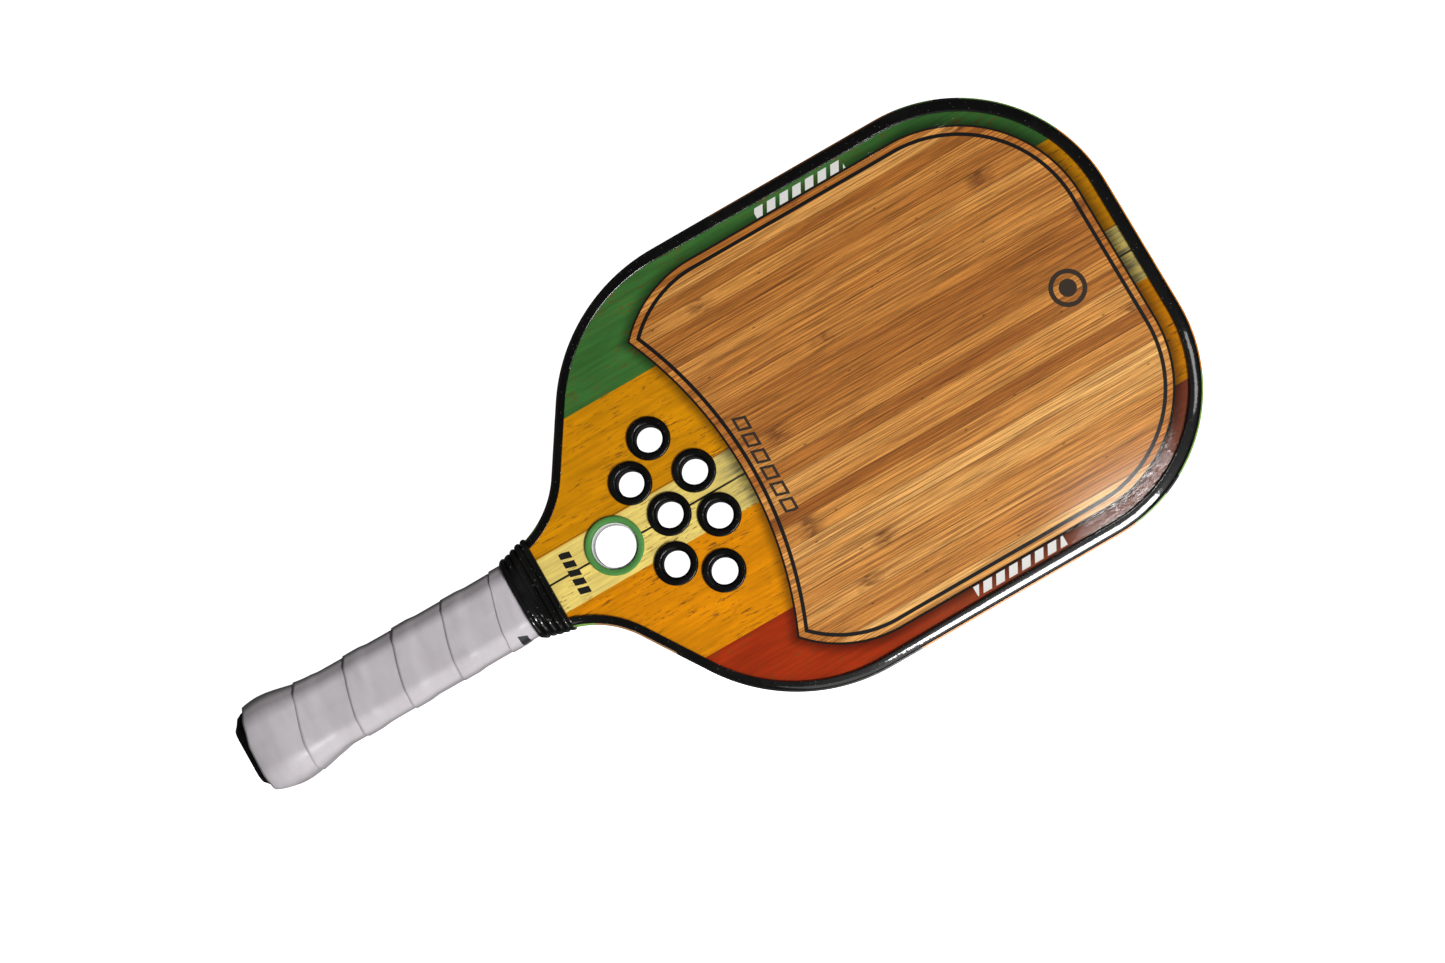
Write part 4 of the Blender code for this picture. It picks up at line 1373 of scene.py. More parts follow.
    links.new(surface.outputs["BSDF"], output.inputs["Surface"])
    return material


def moulded(name, color, worn_color, roughness, grain, dust, coat=0.0):
    """Moulded plastic or rubber: a fine grain, gloss that varies with handling, scuffs and a little dust."""
    material = bpy.data.materials.new(name)
    material.use_nodes = True
    nodes, links = material.node_tree.nodes, material.node_tree.links
    nodes.clear()

    place = nodes.new("ShaderNodeTexCoord")
    place.label = "place on the paddle"
    handling = nodes.new("ShaderNodeTexNoise")
    handling.label = "where it has been handled"
    handling.inputs["Scale"].default_value = 60.0
    handling.inputs["Detail"].default_value = 4.0
    handling.inputs["Roughness"].default_value = 0.6
    wear_mask = nodes.new("ShaderNodeMapRange")
    wear_mask.label = "scuffed places"
    wear_mask.inputs["From Min"].default_value = 0.50
    wear_mask.inputs["From Max"].default_value = 0.72
    wear_mask.inputs["To Max"].default_value = 0.7
    worn = nodes.new("ShaderNodeMix")
    worn.label = "scuffed colour"
    worn.data_type = "RGBA"
    worn.inputs[COLOR_A].default_value = color
    worn.inputs[COLOR_B].default_value = worn_color
    scratch_size = nodes.new("ShaderNodeMapping")
    scratch_size.label = "scratches run lengthwise"
    scratch_size.inputs["Scale"].default_value = (1500.0, 90.0, 1500.0)
    scratches = nodes.new("ShaderNodeTexNoise")
    scratches.label = "fine scratches"
    scratches.inputs["Scale"].default_value = 1.0
    scratch_mask = nodes.new("ShaderNodeMapRange")
    scratch_mask.label = "only the deepest"
    scratch_mask.inputs["From Min"].default_value = 0.66
    scratch_mask.inputs["From Max"].default_value = 0.78
    scratch_mask.inputs["To Max"].default_value = 0.8
    scratched = nodes.new("ShaderNodeMix")
    scratched.label = "pale scratches"
    scratched.data_type = "RGBA"
    scratched.inputs[COLOR_B].default_value = worn_color
    specks = nodes.new("ShaderNodeTexVoronoi")
    specks.label = "specks of dust"
    specks.inputs["Scale"].default_value = 480.0
    speck_mask = nodes.new("ShaderNodeMapRange")
    speck_mask.label = "size of the specks"
    speck_mask.inputs["From Min"].default_value = 0.06
    speck_mask.inputs["From Max"].default_value = 0.14
    speck_mask.inputs["To Min"].default_value = dust
    speck_mask.inputs["To Max"].default_value = 0.0
    dusted = nodes.new("ShaderNodeMix")
    dusted.label = "dust on it"
    dusted.data_type = "RGBA"
    dusted.inputs[COLOR_B].default_value = (0.42, 0.40, 0.37, 1)
    gloss = nodes.new("ShaderNodeMapRange")
    gloss.label = "gloss varies with handling"
    gloss.inputs["From Min"].default_value = 0.3
    gloss.inputs["From Max"].default_value = 0.7
    gloss.inputs["To Min"].default_value = roughness - 0.07
    gloss.inputs["To Max"].default_value = roughness + 0.12
    texture = nodes.new("ShaderNodeTexNoise")
    texture.label = "texture of the mould"
    texture.inputs["Scale"].default_value = 1400.0
    relief = nodes.new("ShaderNodeBump")
    relief.label = "fine grain"
    relief.inputs["Strength"].default_value = grain
    relief.inputs["Distance"].default_value = 0.05 * MM
    waves = nodes.new("ShaderNodeBump")
    waves.label = "waves in the gloss"
    waves.inputs["Strength"].default_value = 0.4
    waves.inputs["Distance"].default_value = 0.3 * MM
    surface = nodes.new("ShaderNodeBsdfPrincipled")
    surface.label = "moulded surface"
    surface.inputs["Specular IOR Level"].default_value = 0.10
    surface.inputs["Coat Weight"].default_value = coat
    surface.inputs["Coat Roughness"].default_value = 0.07
    output = nodes.new("ShaderNodeOutputMaterial")
    output.label = name

    frame_up(
        nodes,
        {
            "Scuffs": [place, handling, wear_mask, worn],
            "Scratches": [scratch_size, scratches, scratch_mask, scratched],
            "Dust": [specks, speck_mask, dusted],
            "Finish": [gloss, texture, relief, waves, surface, output],
        },
    )

    links.new(place.outputs["Object"], handling.inputs["Vector"])
    links.new(handling.outputs["Fac"], wear_mask.inputs["Value"])
    links.new(wear_mask.outputs["Result"], worn.inputs["Factor"])
    links.new(place.outputs["Object"], scratch_size.inputs["Vector"])
    links.new(scratch_size.outputs["Vector"], scratches.inputs["Vector"])
    links.new(scratches.outputs["Fac"], scratch_mask.inputs["Value"])
    links.new(scratch_mask.outputs["Result"], scratched.inputs["Factor"])
    links.new(worn.outputs[COLOR_MIXED], scratched.inputs[COLOR_A])
    links.new(place.outputs["Object"], specks.inputs["Vector"])
    links.new(specks.outputs["Distance"], speck_mask.inputs["Value"])
    links.new(speck_mask.outputs["Result"], dusted.inputs["Factor"])
    links.new(scratched.outputs[COLOR_MIXED], dusted.inputs[COLOR_A])
    links.new(dusted.outputs[COLOR_MIXED], surface.inputs["Base Color"])
    links.new(handling.outputs["Fac"], gloss.inputs["Value"])
    links.new(gloss.outputs["Result"], surface.inputs["Roughness"])
    links.new(place.outputs["Object"], texture.inputs["Vector"])
    links.new(texture.outputs["Fac"], relief.inputs["Height"])
    links.new(relief.outputs["Normal"], surface.inputs["Normal"])
    links.new(handling.outputs["Fac"], waves.inputs["Height"])
    links.new(waves.outputs["Normal"], surface.inputs["Coat Normal"])
    links.new(surface.outputs["BSDF"], output.inputs["Surface"])
    return material


def printed_tape(name, stops):
    """Thin glossy tape, printed in bands along the rim. Each stop is a distance from the butt's end in
    millimetres and the colour that starts there."""
    material = bpy.data.materials.new(name)
    material.use_nodes = True
    nodes, links = material.node_tree.nodes, material.node_tree.links
    nodes.clear()

    place = nodes.new("ShaderNodeTexCoord")
    place.label = "place on the paddle"
    split = nodes.new("ShaderNodeSeparateXYZ")
    split.label = "along the paddle"
    share = nodes.new("ShaderNodeMapRange")
    share.label = "share of the paddle's length"
    share.inputs["From Min"].default_value = BUTT
    share.inputs["From Max"].default_value = BUTT + LENGTH
    bands = nodes.new("ShaderNodeValToRGB")
    bands.label = "printed bands"
    bands.color_ramp.interpolation = "CONSTANT"
    ramp = bands.color_ramp.elements
    ramp[0].color = stops[0][1]
    ramp[1].position, ramp[1].color = stops[1][0] * MM / LENGTH, stops[1][1]
    for start, color in stops[2:]:
        ramp.new(start * MM / LENGTH).color = color
    rubbing = nodes.new("ShaderNodeTexNoise")
    rubbing.label = "rubbed print"
    rubbing.inputs["Scale"].default_value = 220.0
    rubbing.inputs["Detail"].default_value = 4.0
    rub_shade = nodes.new("ShaderNodeMapRange")
    rub_shade.label = "how much it has rubbed"
    rub_shade.inputs["From Min"].default_value = 0.3
    rub_shade.inputs["From Max"].default_value = 0.7
    rub_shade.inputs["To Min"].default_value = 0.8
    rub_shade.inputs["To Max"].default_value = 1.15
    rubbed = nodes.new("ShaderNodeVectorMath")
    rubbed.label = "print with its wear"
    rubbed.operation = "SCALE"
    gloss = nodes.new("ShaderNodeMapRange")
    gloss.label = "gloss worn with it"
    gloss.inputs["To Min"].default_value = 0.22
    gloss.inputs["To Max"].default_value = 0.45
    relief = nodes.new("ShaderNodeBump")
    relief.label = "tape follows the guard's texture"
    relief.inputs["Strength"].default_value = 0.2
    relief.inputs["Distance"].default_value = 0.05 * MM
    surface = nodes.new("ShaderNodeBsdfPrincipled")
    surface.label = "printed tape"
    output = nodes.new("ShaderNodeOutputMaterial")
    output.label = name

    frame_up(
        nodes,
        {
            "Bands": [place, split, share, bands],
            "Wear": [rubbing, rub_shade, rubbed],
            "Finish": [gloss, relief, surface, output],
        },
    )

    links.new(place.outputs["Object"], split.inputs["Vector"])
    links.new(split.outputs["Y"], share.inputs["Value"])
    links.new(share.outputs["Result"], bands.inputs["Fac"])
    links.new(place.outputs["Object"], rubbing.inputs["Vector"])
    links.new(rubbing.outputs["Fac"], rub_shade.inputs["Value"])
    links.new(bands.outputs["Color"], rubbed.inputs[0])
    links.new(rub_shade.outputs["Result"], rubbed.inputs["Scale"])
    links.new(rubbed.outputs["Vector"], surface.inputs["Base Color"])
    links.new(rubbing.outputs["Fac"], gloss.inputs["Value"])
    links.new(gloss.outputs["Result"], surface.inputs["Roughness"])
    links.new(rubbing.outputs["Fac"], relief.inputs["Height"])
    links.new(relief.outputs["Normal"], surface.inputs["Normal"])
    links.new(surface.outputs["BSDF"], output.inputs["Surface"])
    return material


def tacky_film(name):
    """The overgrip's soft polyurethane film: pale grey, faintly pebbled, darker where a hand has been."""
    material = bpy.data.materials.new(name)
    material.use_nodes = True
    nodes, links = material.node_tree.nodes, material.node_tree.links
    nodes.clear()

    place = nodes.new("ShaderNodeTexCoord")
    place.label = "place on the paddle"
    hand_size = nodes.new("ShaderNodeMapping")
    hand_size.label = "marks follow the winding"
    hand_size.inputs["Scale"].default_value = (60.0, 150.0, 60.0)
    hand_size.inputs["Rotation"].default_value = (0.0, 0.0, math.radians(13))
    hand = nodes.new("ShaderNodeTexNoise")
    hand.label = "hand marks"
    hand.inputs["Scale"].default_value = 1.0
    hand.inputs["Detail"].default_value = 5.0
    hand.inputs["Roughness"].default_value = 0.62
    tones = nodes.new("ShaderNodeValToRGB")
    tones.label = "clean to soiled grey"
    ramp = tones.color_ramp.elements
    ramp[0].position, ramp[0].color = 0.32, (0.52, 0.483, 0.505, 1)
    ramp[1].position, ramp[1].color = 0.68, (0.585, 0.547, 0.572, 1)
    ramp.new(0.48).color = (0.56, 0.523, 0.548, 1)
    split = nodes.new("ShaderNodeSeparateXYZ")
    split.label = "across and along"
    lean, patch_across, patch_along = 0.38, 15.0 * MM, BUTT + 118 * MM
    patch_lean = nodes.new("ShaderNodeMath")
    patch_lean.label = "patch's slanted ends"
    patch_lean.operation = "MULTIPLY_ADD"
    patch_lean.inputs[1].default_value = -lean
    patch_wide = nodes.new("ShaderNodeMath")
    patch_wide.label = "patch's width"
    patch_wide.operation = "COMPARE"
    patch_wide.inputs[1].default_value = patch_across - lean * patch_along
    patch_wide.inputs[2].default_value = 2.0 * MM
    patch_high = nodes.new("ShaderNodeMath")
    patch_high.label = "patch's height"
    patch_high.operation = "COMPARE"
    patch_high.inputs[1].default_value = patch_along
    patch_high.inputs[2].default_value = 1.8 * MM
    front = nodes.new("ShaderNodeMath")
    front.label = "on the front only"
    front.operation = "GREATER_THAN"
    front.inputs[1].default_value = MID_HEIGHT
    patch_box = nodes.new("ShaderNodeMath")
    patch_box.label = "patch"
    patch_box.operation = "MULTIPLY"
    patch = nodes.new("ShaderNodeMath")
    patch.label = "patch on the front"
    patch.operation = "MULTIPLY"
    printed = nodes.new("ShaderNodeMix")
    printed.label = "black printed patch"
    printed.data_type = "RGBA"
    printed.inputs[COLOR_B].default_value = (0.02, 0.02, 0.02, 1)
    gloss = nodes.new("ShaderNodeMapRange")
    gloss.label = "handled places shine"
    gloss.inputs["From Min"].default_value = 0.3
    gloss.inputs["From Max"].default_value = 0.7
    gloss.inputs["To Min"].default_value = 0.30
    gloss.inputs["To Max"].default_value = 0.46
    pebbles = nodes.new("ShaderNodeTexVoronoi")
    pebbles.label = "faint pebbles"
    pebbles.feature = "SMOOTH_F1"
    pebbles.inputs["Scale"].default_value = 1500.0
    pebble_relief = nodes.new("ShaderNodeBump")
    pebble_relief.label = "pebbled film"
    pebble_relief.inputs["Strength"].default_value = 0.22
    pebble_relief.inputs["Distance"].default_value = 0.05 * MM
    crease_relief = nodes.new("ShaderNodeBump")
    crease_relief.label = "soft creases"
    crease_relief.inputs["Strength"].default_value = 0.3
    crease_relief.inputs["Distance"].default_value = 0.35 * MM
    surface = nodes.new("ShaderNodeBsdfPrincipled")
    surface.label = "tacky film"
    surface.inputs["Subsurface Weight"].default_value = 0.08
    surface.inputs["Subsurface Radius"].default_value = (1.2, 1.0, 0.9)
    surface.inputs["Subsurface Scale"].default_value = 0.6 * MM
    surface.inputs["Specular IOR Level"].default_value = 0.42
    surface.inputs["Sheen Weight"].default_value = 0.12
    output = nodes.new("ShaderNodeOutputMaterial")
    output.label = "overgrip film"

    frame_up(
        nodes,
        {
            "Hand marks": [place, hand_size, hand, tones],
            "Printed patch": [split, patch_lean, patch_wide, patch_high, front, patch_box, patch, printed],
            "Pebbles and creases": [pebbles, pebble_relief, crease_relief],
            "Finish": [gloss, surface, output],
        },
    )

    links.new(place.outputs["Object"], hand_size.inputs["Vector"])
    links.new(hand_size.outputs["Vector"], hand.inputs["Vector"])
    links.new(hand.outputs["Fac"], tones.inputs["Fac"])
    links.new(place.outputs["Object"], split.inputs["Vector"])
    links.new(split.outputs["Y"], patch_lean.inputs[0])
    links.new(split.outputs["X"], patch_lean.inputs[2])
    links.new(patch_lean.outputs["Value"], patch_wide.inputs[0])
    links.new(split.outputs["Y"], patch_high.inputs[0])
    links.new(split.outputs["Z"], front.inputs[0])
    links.new(patch_wide.outputs["Value"], patch_box.inputs[0])
    links.new(patch_high.outputs["Value"], patch_box.inputs[1])
    links.new(patch_box.outputs["Value"], patch.inputs[0])
    links.new(front.outputs["Value"], patch.inputs[1])
    links.new(patch.outputs["Value"], printed.inputs["Factor"])
    links.new(tones.outputs["Color"], printed.inputs[COLOR_A])
    links.new(printed.outputs[COLOR_MIXED], surface.inputs["Base Color"])
    links.new(hand.outputs["Fac"], gloss.inputs["Value"])
    links.new(gloss.outputs["Result"], surface.inputs["Roughness"])
    links.new(hand.outputs["Fac"], crease_relief.inputs["Height"])
    links.new(place.outputs["Object"], pebbles.inputs["Vector"])
    links.new(pebbles.outputs["Distance"], pebble_relief.inputs["Height"])
    links.new(crease_relief.outputs["Normal"], pebble_relief.inputs["Normal"])
    links.new(pebble_relief.outputs["Normal"], surface.inputs["Normal"])
    links.new(surface.outputs["BSDF"], output.inputs["Surface"])
    return material


# ---------------------------------------------------------------- pieces


def build_films(materials):
    """The printed films, down on the bamboo sheets."""
    holes = [arc(middle(f"grommet_{n}")[:2], GROMMET_CUT, 0, math.tau, 48)[:-1] for n in range(1, 8)]
    holes.append(arc(middle("throat_eyelet")[:2], EYELET_CUT, 0, math.tau, 64)[:-1])
    outlines = [film_outline(), window_outline()] + holes
    for side, up in (("front", 1), ("back", -1)):
        heights = sorted(MID_HEIGHT + up * z for z in (FACE_TOP, FACE_TOP + FILM_THICKNESS))
        mesh = flat_plate(f"striped_film_{side}", outlines, *heights)
        into_scene(f"striped_film_{side}", mesh, materials[side], f"printed_film_{side}")


def guard_section():
    """The guard's closed section of (inset, height): lips on the film that fall away outwards, rounded
    shoulders and a flat rim."""
    rim, lip, shoulder = 0.65 * MM, 6.0 * MM, 1.8 * MM
    low = FACE_TOP + FILM_THICKNESS
    fall = 13  # degrees
    upper = [(lip, low), (lip, GUARD_TOP - 0.35 * MM), (lip - 0.15 * MM, GUARD_TOP - 0.08 * MM)]
    upper += [(lip - 0.4 * MM, GUARD_TOP), (lip - 0.9 * MM, GUARD_TOP)]
    run = lip - 0.9 * MM - rim - shoulder
    bend = (rim + shoulder, GUARD_TOP - run * math.tan(math.radians(fall)) - shoulder)
    upper += rounded(bend, shoulder, 90 + fall, 180, 8)
    lower = [(inset, -z) for inset, z in reversed(upper)]
    return [(GUARD_WALL, low)] + upper + lower + [(GUARD_WALL, -low)]


def tape_section():
    """The rim tape's closed section, with its edges just turned over."""
    half, thick = 4.5 * MM, 0.45 * MM
    outer = [(0.15 * MM, half), (0.0, half - 0.4 * MM)]
    inner = [(thick + 0.2 * MM, half + 0.15 * MM)]
    upper = inner + outer
    return upper + [(inset, -z) for inset, z in reversed(upper)]


def narrow_lip(bm):
    """Narrows the guard's lips from the head down to the throat."""
    _, shoulder, neck, throat_top, throat_low = head_centres()
    slope = Vector((math.sin(THROAT_ANGLE), -math.cos(THROAT_ANGLE), 0))
    full_width_above = shoulder.y + 60 * MM
    throat, head = 175 * MM, 300 * MM
    narrowed = 0.34 / 0.6  # share that the lip loses at the throat
    for vert in bm.verts:
        at = Vector((abs(vert.co.x), vert.co.y, 0))
        if at.y > full_width_above:
            continue
        from_shoulder = at - shoulder
        if at.y > shoulder.y:
            inset, outward = HALF_WIDTH - at.x, Vector((1, 0, 0))
        elif math.atan2(from_shoulder.y, from_shoulder.x) > THROAT_ANGLE - math.pi / 2:
            inset, outward = SHOULDER_RADIUS - from_shoulder.length, from_shoulder.normalized()
        elif (at - throat_low).dot(throat_top - throat_low) > 0:
            inset, outward = (throat_low - at).dot(slope), slope
        else:
            inset, outward = (at - neck).length - NECK_RADIUS, (neck - at).normalized()
        loss = narrowed * (1 - smooth(at.y - BUTT, throat, head))
        shift = outward * max(0.0, inset - GUARD_WALL) * loss
        vert.co += Vector((math.copysign(shift.x, vert.co.x * shift.x), shift.y, 0))


def build_edge(guard, tapes):
    """The guard's halves, which meet at the top of the head, and the printed tape on their rims."""
    for half, side in (("left", -1), ("right", 1)):
        bm = carried_round_head(guard_section(), COLLAR_TOP - 1.5 * MM, side)
        narrow_lip(bm)
        piece(f"edge_moulding_{half}", bm, guard, f"edge_guard_{half}")
        bm = carried_round_head(tape_section(), COLLAR_TOP - 0.5 * MM, side)
        piece(f"rim_tape_{half}", bm, tapes[half], f"edge_tape_{half}")


def build_grommets(black, green, white):
    """Grommets with rolled lips, and the large eyelet with its sleeve."""
    seat = FACE_TOP + FILM_THICKNESS
    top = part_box("grommet_1")[1][2] - MID_HEIGHT
    half = [(5.45 * MM, top - 2.2 * MM)]
    half += rounded((6.75 * MM, top - 1.3 * MM), 1.3 * MM, 180, 90, 7)
    half += [(7.75 * MM, top - 0.05 * MM)]
    half += rounded((8.05 * MM, top - 0.75 * MM), 0.7 * MM, 85, 0, 5)
    half += [(8.75 * MM, seat), (6.6 * MM, seat)]
    for number in range(1, 8):
        bm = turned(both_faces(half), middle(f"grommet_{number}"))
        piece(f"grommet_ring_{number}", bm, black, f"grommet_{number}", sharp=50)
    at = middle("throat_eyelet")
    half = [(9.3 * MM, top - 2.6 * MM), (9.3 * MM, top - 0.3 * MM), (9.55 * MM, top - 0.05 * MM)]
    half += [(10.9 * MM, top)]
    half += rounded((11.1 * MM, top - 0.7 * MM), 0.7 * MM, 85, 0, 5)
    half += [(11.8 * MM, seat), (10.2 * MM, seat)]
    piece("eyelet_ring", turned(both_faces(half), at), green, "throat_eyelet", sharp=50)
    half = rounded((8.9 * MM, top - 1.6 * MM), 0.32 * MM, 180, 0, 6) + [(9.22 * MM, top - 2.6 * MM)]
    piece("eyelet_sleeve", turned(both_faces(half), at), white, "eyelet_liner", sharp=50)


# Half width, half thickness and corner radius: the collar's lowest rib, what it gains up to the highest one,
# and the same two for the collar's inside
RIB_SIZE = (17.55, 15.7, 9.2)
RIB_GAIN = (2.85, -5.4, -4.4)
SLEEVE_SIZE = (16.6, 14.8, 9.0)
SLEEVE_GAIN = (0.9, -8.0, -8.0)


def tapered(size, gain, share):
    """A handle section's three lengths, partway from the collar's foot to its top."""
    return [(low + more * share) * MM for low, more in zip(size, gain)]


def build_collar(rubber):
    """The ribbed collar: five soft rolls, each a little uneven, over a straight inside."""
    ribs, rows_each = 5, 9
    pitch = (COLLAR_TOP - COLLAR_START) / ribs
    steps = [("rib", step / rows_each) for step in range(ribs * rows_each + 1)]
    steps += [("inside", COLLAR_TOP), ("inside", 132 * MM), ("inside", 127 * MM), ("inside", COLLAR_START)]
    steps += [steps[0]]

    def place(share, step):
        kind, value = step
        if kind == "inside":
            taper = smooth(value, 127 * MM, COLLAR_TOP)
            point, _ = round_handle(share, *tapered(SLEEVE_SIZE, SLEEVE_GAIN, taper))
            return point + Vector((0, BUTT + value, MID_HEIGHT))
        rib = min(ribs - 1, int(value))
        taper = (value - 0.5) / (ribs - 1)
        taper = min(1.05, max(-0.05, taper))
        roll = math.sqrt(max(0.0, math.sin(math.pi * (value % 1))))
        around = share * math.tau
        direction = Vector((math.cos(around), math.sin(around), 0))
        uneven = noise.noise(direction * 1.6 + Vector((0, 0, 7.3 * rib)))
        sink = 0.85 * MM * (1 - roll) - 0.28 * MM * uneven * roll
        shift = 0.35 * MM * noise.noise(direction * 1.3 + Vector((0, 0, 3.1 * round(value))))
        if value in (0, ribs):
            shift *= 0.4
        half_width, half_thickness, radius = tapered(RIB_SIZE, RIB_GAIN, taper)
        point, _ = round_handle(share, half_width - sink, half_thickness - sink, radius)
        return point + Vector((0, BUTT + COLLAR_START + value * pitch + shift, MID_HEIGHT))

    piece("ribbed_collar", wrapped(steps, place), rubber, "rubber_collar", sharp=80)


def build_butt(plastic):
    """The butt cap: a shallow dome with a rounded rim over a hollow that the shells fill."""
    wall = 1.5 * MM
    rows = [("dome", share) for share in (0.0, 0.2, 0.4, 0.6, 0.8, 0.92, 1.0)]
    rows += [("outside", y * MM) for y in (1.0, 2.4, 4.0, 6.0, 9.0, 12.0, 16.0, 20.0, 25.0, 30.0, 32.7)]
    rows += [("inside", y * MM) for y in (32.7, 20.0, 5.7)] + [("floor", 0.5), ("floor", 0.0)]

    def place(share, row):
        kind, value = row
        if kind in ("dome", "floor"):
            edge = -2.4 * MM if kind == "dome" else 0.3 * MM
            size = [max(0.02 * MM, (length + edge) * value) for length in HANDLE_CORE]
            point, _ = round_handle(share, *size)
            along = 0.9 * MM * value**3 if kind == "dome" else 5.7 * MM
            return point + Vector((0, BUTT + along, MID_HEIGHT))
        if kind == "inside":
            stands = 0.3 * MM
        elif value < 2.5 * MM:
            stands = -1.4 * MM if value < 2 * MM else 0.1 * MM
        else:
            stands = wall + flare(value) - 0.4 * MM
        point, out = round_handle(share, *HANDLE_CORE)
        return point + out * stands + Vector((0, BUTT + value, MID_HEIGHT))

    piece("butt_plug", wrapped(rows, place), plastic, "butt_cap", sharp=60)


# The overgrip is one strip, wound up the handle from the butt
SEAM_START = 3.6 * MM
SEAM_PITCH = 22.05 * MM
STRIP_WIDTH = 28.5 * MM
STRIP_THICKNESS = 0.48 * MM
UNDER_STRIP = 1.72 * MM  # from the handle's core to the strip's underside
STRIP_END = 4.2 * MM  # where its first turn ends at the butt
STRIP_START = -0.62  # turns before the middle of the front
STRIP_ROWS = 26
STRIP_STEPS = 112  # in each turn
GRIP_LEAN = math.radians(37)  # how far the grip's bevels lean from its front


def seam(turn):
    """Where the strip's lower edge is on the front of the handle, before it is trimmed at the butt."""
    wander = 2.2 * (1 - math.cos(math.tau * turn)) + 0.2 * math.sin(math.tau * turn)
    return SEAM_START + SEAM_PITCH * turn + wander * MM


def strip_edges(turn):
    """The strip's lower and upper edges at one place along it, trimmed at the butt and under the collar."""
    level = STRIP_END + 0.5 * MM * noise.noise(Vector((turn * 5.1, 0, 0)))
    return max(level, seam(turn)), min(GRIP_TOP, max(seam(turn), STRIP_END) + STRIP_WIDTH)


def wound(turn, across):
    """A point of the strip: turns counted from its start at the butt, and the share across it."""
    low, high = strip_edges(turn)
    along = low + (high - low) * across
    under = strip_edges(turn - 1)[1]
    over = 1 - smooth(along, under - 0.5 * MM, under + 4.5 * MM)
    over *= smooth(turn - 1, STRIP_START, STRIP_START + 0.02)
    lift = STRIP_THICKNESS * (1.0 + 0.95 * over)
    point, out = round_handle(turn, *HANDLE_CORE, lean=GRIP_LEAN)
    soft = noise.noise(Vector((point.x * 70, along * 55, point.z * 70 + 31 * math.floor(turn))))
    ripple = noise.noise(Vector((point.x * 260, along * 110, point.z * 260)))
    near_edge = 1 - smooth(along - low, 0, 7 * MM)
    uneven = 0.16 * MM * soft + 0.07 * MM * ripple * (0.4 + near_edge)
    stands = UNDER_STRIP + flare(along) + lift + uneven
    return point + out * stands + Vector((0, BUTT + along, MID_HEIGHT))


def build_overgrip(film):
    """Winds a flat strip round the handle and gives it its thickness."""
    end = GRIP_TOP - 1.5 * MM
    last = next(n / 50 for n in range(600) if seam(n / 50) > end)
    turns = last - STRIP_START
    steps = round(turns * STRIP_STEPS)
    bm = bmesh.new()
    bmesh.ops.create_grid(bm, x_segments=steps, y_segments=STRIP_ROWS, size=0.5)
    for vert in bm.verts:
        vert.co = wound(STRIP_START + turns * (vert.co.x + 0.5), vert.co.y + 0.5)
    bmesh.ops.recalc_face_normals(bm, faces=bm.faces)
    made = piece("wound_overgrip", bm, film, "overgrip", sharp=60)
    thickness = made.modifiers.new("strip thickness", "SOLIDIFY")
    thickness.thickness = STRIP_THICKNESS
    thickness.offset = -1
    stands = 2.1 * MM  # about the middle of the wound layers
    ring = [round_handle(n / 200, *HANDLE_CORE, lean=GRIP_LEAN) for n in range(201)]
    ring = [point + out * stands for point, out in ring]
    perimeter = sum((b - a).length for a, b in zip(ring, ring[1:]))


# ---------------------------------------------------------------- stage


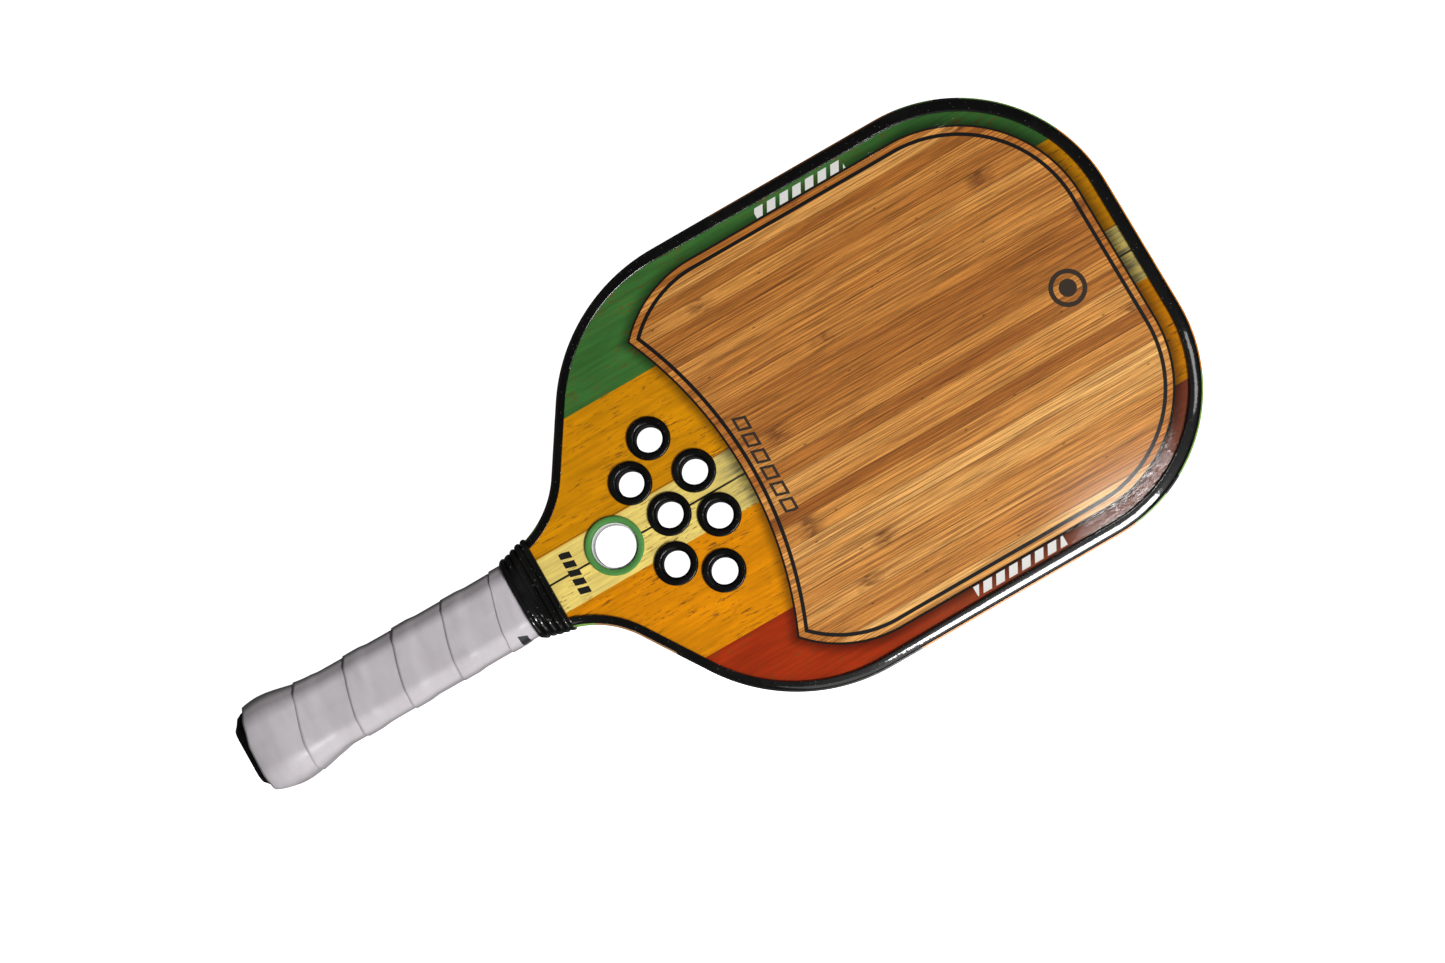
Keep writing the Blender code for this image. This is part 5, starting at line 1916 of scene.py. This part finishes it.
def build_stage():
    """A plain pale floor, soft light and the camera over the front face."""
    bm = bmesh.new()
    bmesh.ops.create_grid(bm, x_segments=1, y_segments=1, size=40.0)
    mesh = bpy.data.meshes.new("floor")
    bm.to_mesh(mesh)
    bm.free()
    pale = bpy.data.materials.new("pale floor")
    pale.use_nodes = True
    shader = pale.node_tree.nodes["Principled BSDF"]
    shader.inputs["Base Color"].default_value = (0.93, 0.93, 0.935, 1)
    shader.inputs["Roughness"].default_value = 0.9
    shader.inputs["Emission Color"].default_value = (1.0, 1.0, 1.0, 1)
    shader.inputs["Emission Strength"].default_value = 1.1
    mesh.materials.append(pale)
    floor = bpy.data.objects.new("floor", mesh)
    floor.location.z = -0.0005
    bpy.context.scene.collection.objects.link(floor)
    floor.visible_glossy = False  # so that dark mouldings keep dark edges
    floor.visible_diffuse = False  # so that the handle keeps its shaded side

    world = bpy.data.worlds.new("studio")
    bpy.context.scene.world = world
    world.use_nodes = True
    world.node_tree.nodes["Background"].inputs["Color"].default_value = (1.0, 1.0, 1.0, 1)
    world.node_tree.nodes["Background"].inputs["Strength"].default_value = 0.06

    # name, place, target, width, height, power in watts
    lights = [
        ("side_softbox", (0.85, 0.0, 0.42), (0.0, 0.0, 0.0), 0.9, 0.9, 3.6),
        ("key_softbox", (0.76, 0.33, 1.25), (0.09, 0.12, 0.0), 0.50, 0.22, 17.4),
        ("film_softbox", (0.113, 0.333, 1.25), (0.113, 0.333, 0.0), 0.028, 0.11, 0.70),
        ("rib_softbox", (0.22, 0.85, 1.1), (0.02, -0.07, 0.0), 0.30, 0.14, 0.9),
    ]
    for name, place, target, width, height, power in lights:
        lamp = bpy.data.lights.new(name, "AREA")
        lamp.shape = "RECTANGLE"
        lamp.size = width
        lamp.size_y = height
        lamp.energy = power
        made = bpy.data.objects.new(name, lamp)
        made.location = place
        made.rotation_euler = (Vector(target) - Vector(place)).to_track_quat("-Z", "Y").to_euler()
        bpy.context.scene.collection.objects.link(made)

    lens = bpy.data.cameras.new("camera")
    lens.sensor_width = 36.0
    lens.lens = 57.0
    lens.clip_end = 20.0
    camera = bpy.data.objects.new("camera", lens)
    roll, lean, distance = math.radians(30.1), math.radians(4.5), 0.9
    back = Vector((math.sin(lean), 0, math.cos(lean)))
    right = Vector((math.sin(roll), math.cos(roll), 0))
    right = (right - back * right.dot(back)).normalized()
    up = back.cross(right)
    target = Vector((-0.0007, 0.0126, MID_HEIGHT + FACE_TOP))
    placed = Matrix((right, up, back)).transposed().to_4x4()
    placed.translation = target + back * distance
    camera.matrix_world = placed
    bpy.context.scene.collection.objects.link(camera)
    bpy.context.scene.camera = camera
    bpy.context.scene.view_settings.view_transform = "Standard"


# ---------------------------------------------------------------- putting it together

BLACK = (0.0022, 0.0020, 0.0019, 1)
LEAF_GREEN = (0.22, 0.42, 0.07, 1)
ORANGE = (0.72, 0.24, 0.006, 1)
TAN = (0.42, 0.22, 0.09, 1)
BROWN = (0.10, 0.05, 0.03, 1)


def finish_hidden_parts():
    """Finishes for the CAD parts that the skins cover."""
    core = moulded("foamed polymer core", (0.62, 0.60, 0.55, 1), (0.5, 0.48, 0.44, 1), 0.7, 0.6, 0.0)
    shell = moulded("handle shell plastic", (0.03, 0.03, 0.03, 1), (0.08, 0.08, 0.08, 1), 0.5, 0.4, 0.0)
    cushion = moulded("cushioned base grip", (0.02, 0.02, 0.02, 1), (0.06, 0.06, 0.06, 1), 0.7, 0.9, 0.0)
    finishes = {
        "core_panel": core,
        "handle_shell_front": shell,
        "handle_shell_back": shell,
        "base_grip": cushion,
    }
    for node, material in finishes.items():
        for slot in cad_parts[node].material_slots:
            slot.material = material


def build_paddle():
    """Every visible piece, with its finish."""
    window = window_distance_group()
    films = {}
    for side, hand in (("front", 1), ("back", -1)):
        board = bamboo_board(f"bamboo {side}", window, hand)
        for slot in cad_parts[f"face_sheet_{side}"].material_slots:
            slot.material = board
        films[side] = striped_print(f"striped film {side}", window, hand)
    build_films(films)

    guard = moulded("guard plastic", BLACK, (0.010, 0.010, 0.009, 1), 0.35, 0.2, 0.2, 1.0)
    left = [(0, LEAF_GREEN), (143, BROWN), (205, BLACK), (262, ORANGE), (347, LEAF_GREEN), (362, BLACK)]
    left += [(372, LEAF_GREEN), (400, ORANGE)]
    right = [(0, LEAF_GREEN), (143, TAN), (166, BLACK), (250, ORANGE), (347, LEAF_GREEN), (362, BLACK)]
    right += [(370, LEAF_GREEN), (400, ORANGE)]
    tapes = {"left": printed_tape("left rim tape", left), "right": printed_tape("right rim tape", right)}
    build_edge(guard, tapes)

    black = moulded("grommet plastic", BLACK, (0.008, 0.008, 0.008, 1), 0.34, 0.2, 0.12, 0.25)
    green = moulded("eyelet plastic", (0.082, 0.265, 0.062, 1), (0.12, 0.33, 0.10, 1), 0.42, 0.3, 0.1)
    white = moulded("sleeve plastic", (0.70, 0.70, 0.70, 1), (0.5, 0.49, 0.48, 1), 0.4, 0.3, 0.2)
    build_grommets(black, green, white)
    rubber = moulded("collar rubber", (0.004, 0.004, 0.004, 1), (0.010, 0.010, 0.010, 1), 0.24, 0.2, 0.5, 0.6)
    build_collar(rubber)
    build_butt(moulded("butt plastic", BLACK, (0.016, 0.016, 0.016, 1), 0.32, 0.4, 0.3))
    build_overgrip(tacky_film("overgrip film"))
    finish_hidden_parts()


build_paddle()
build_stage()
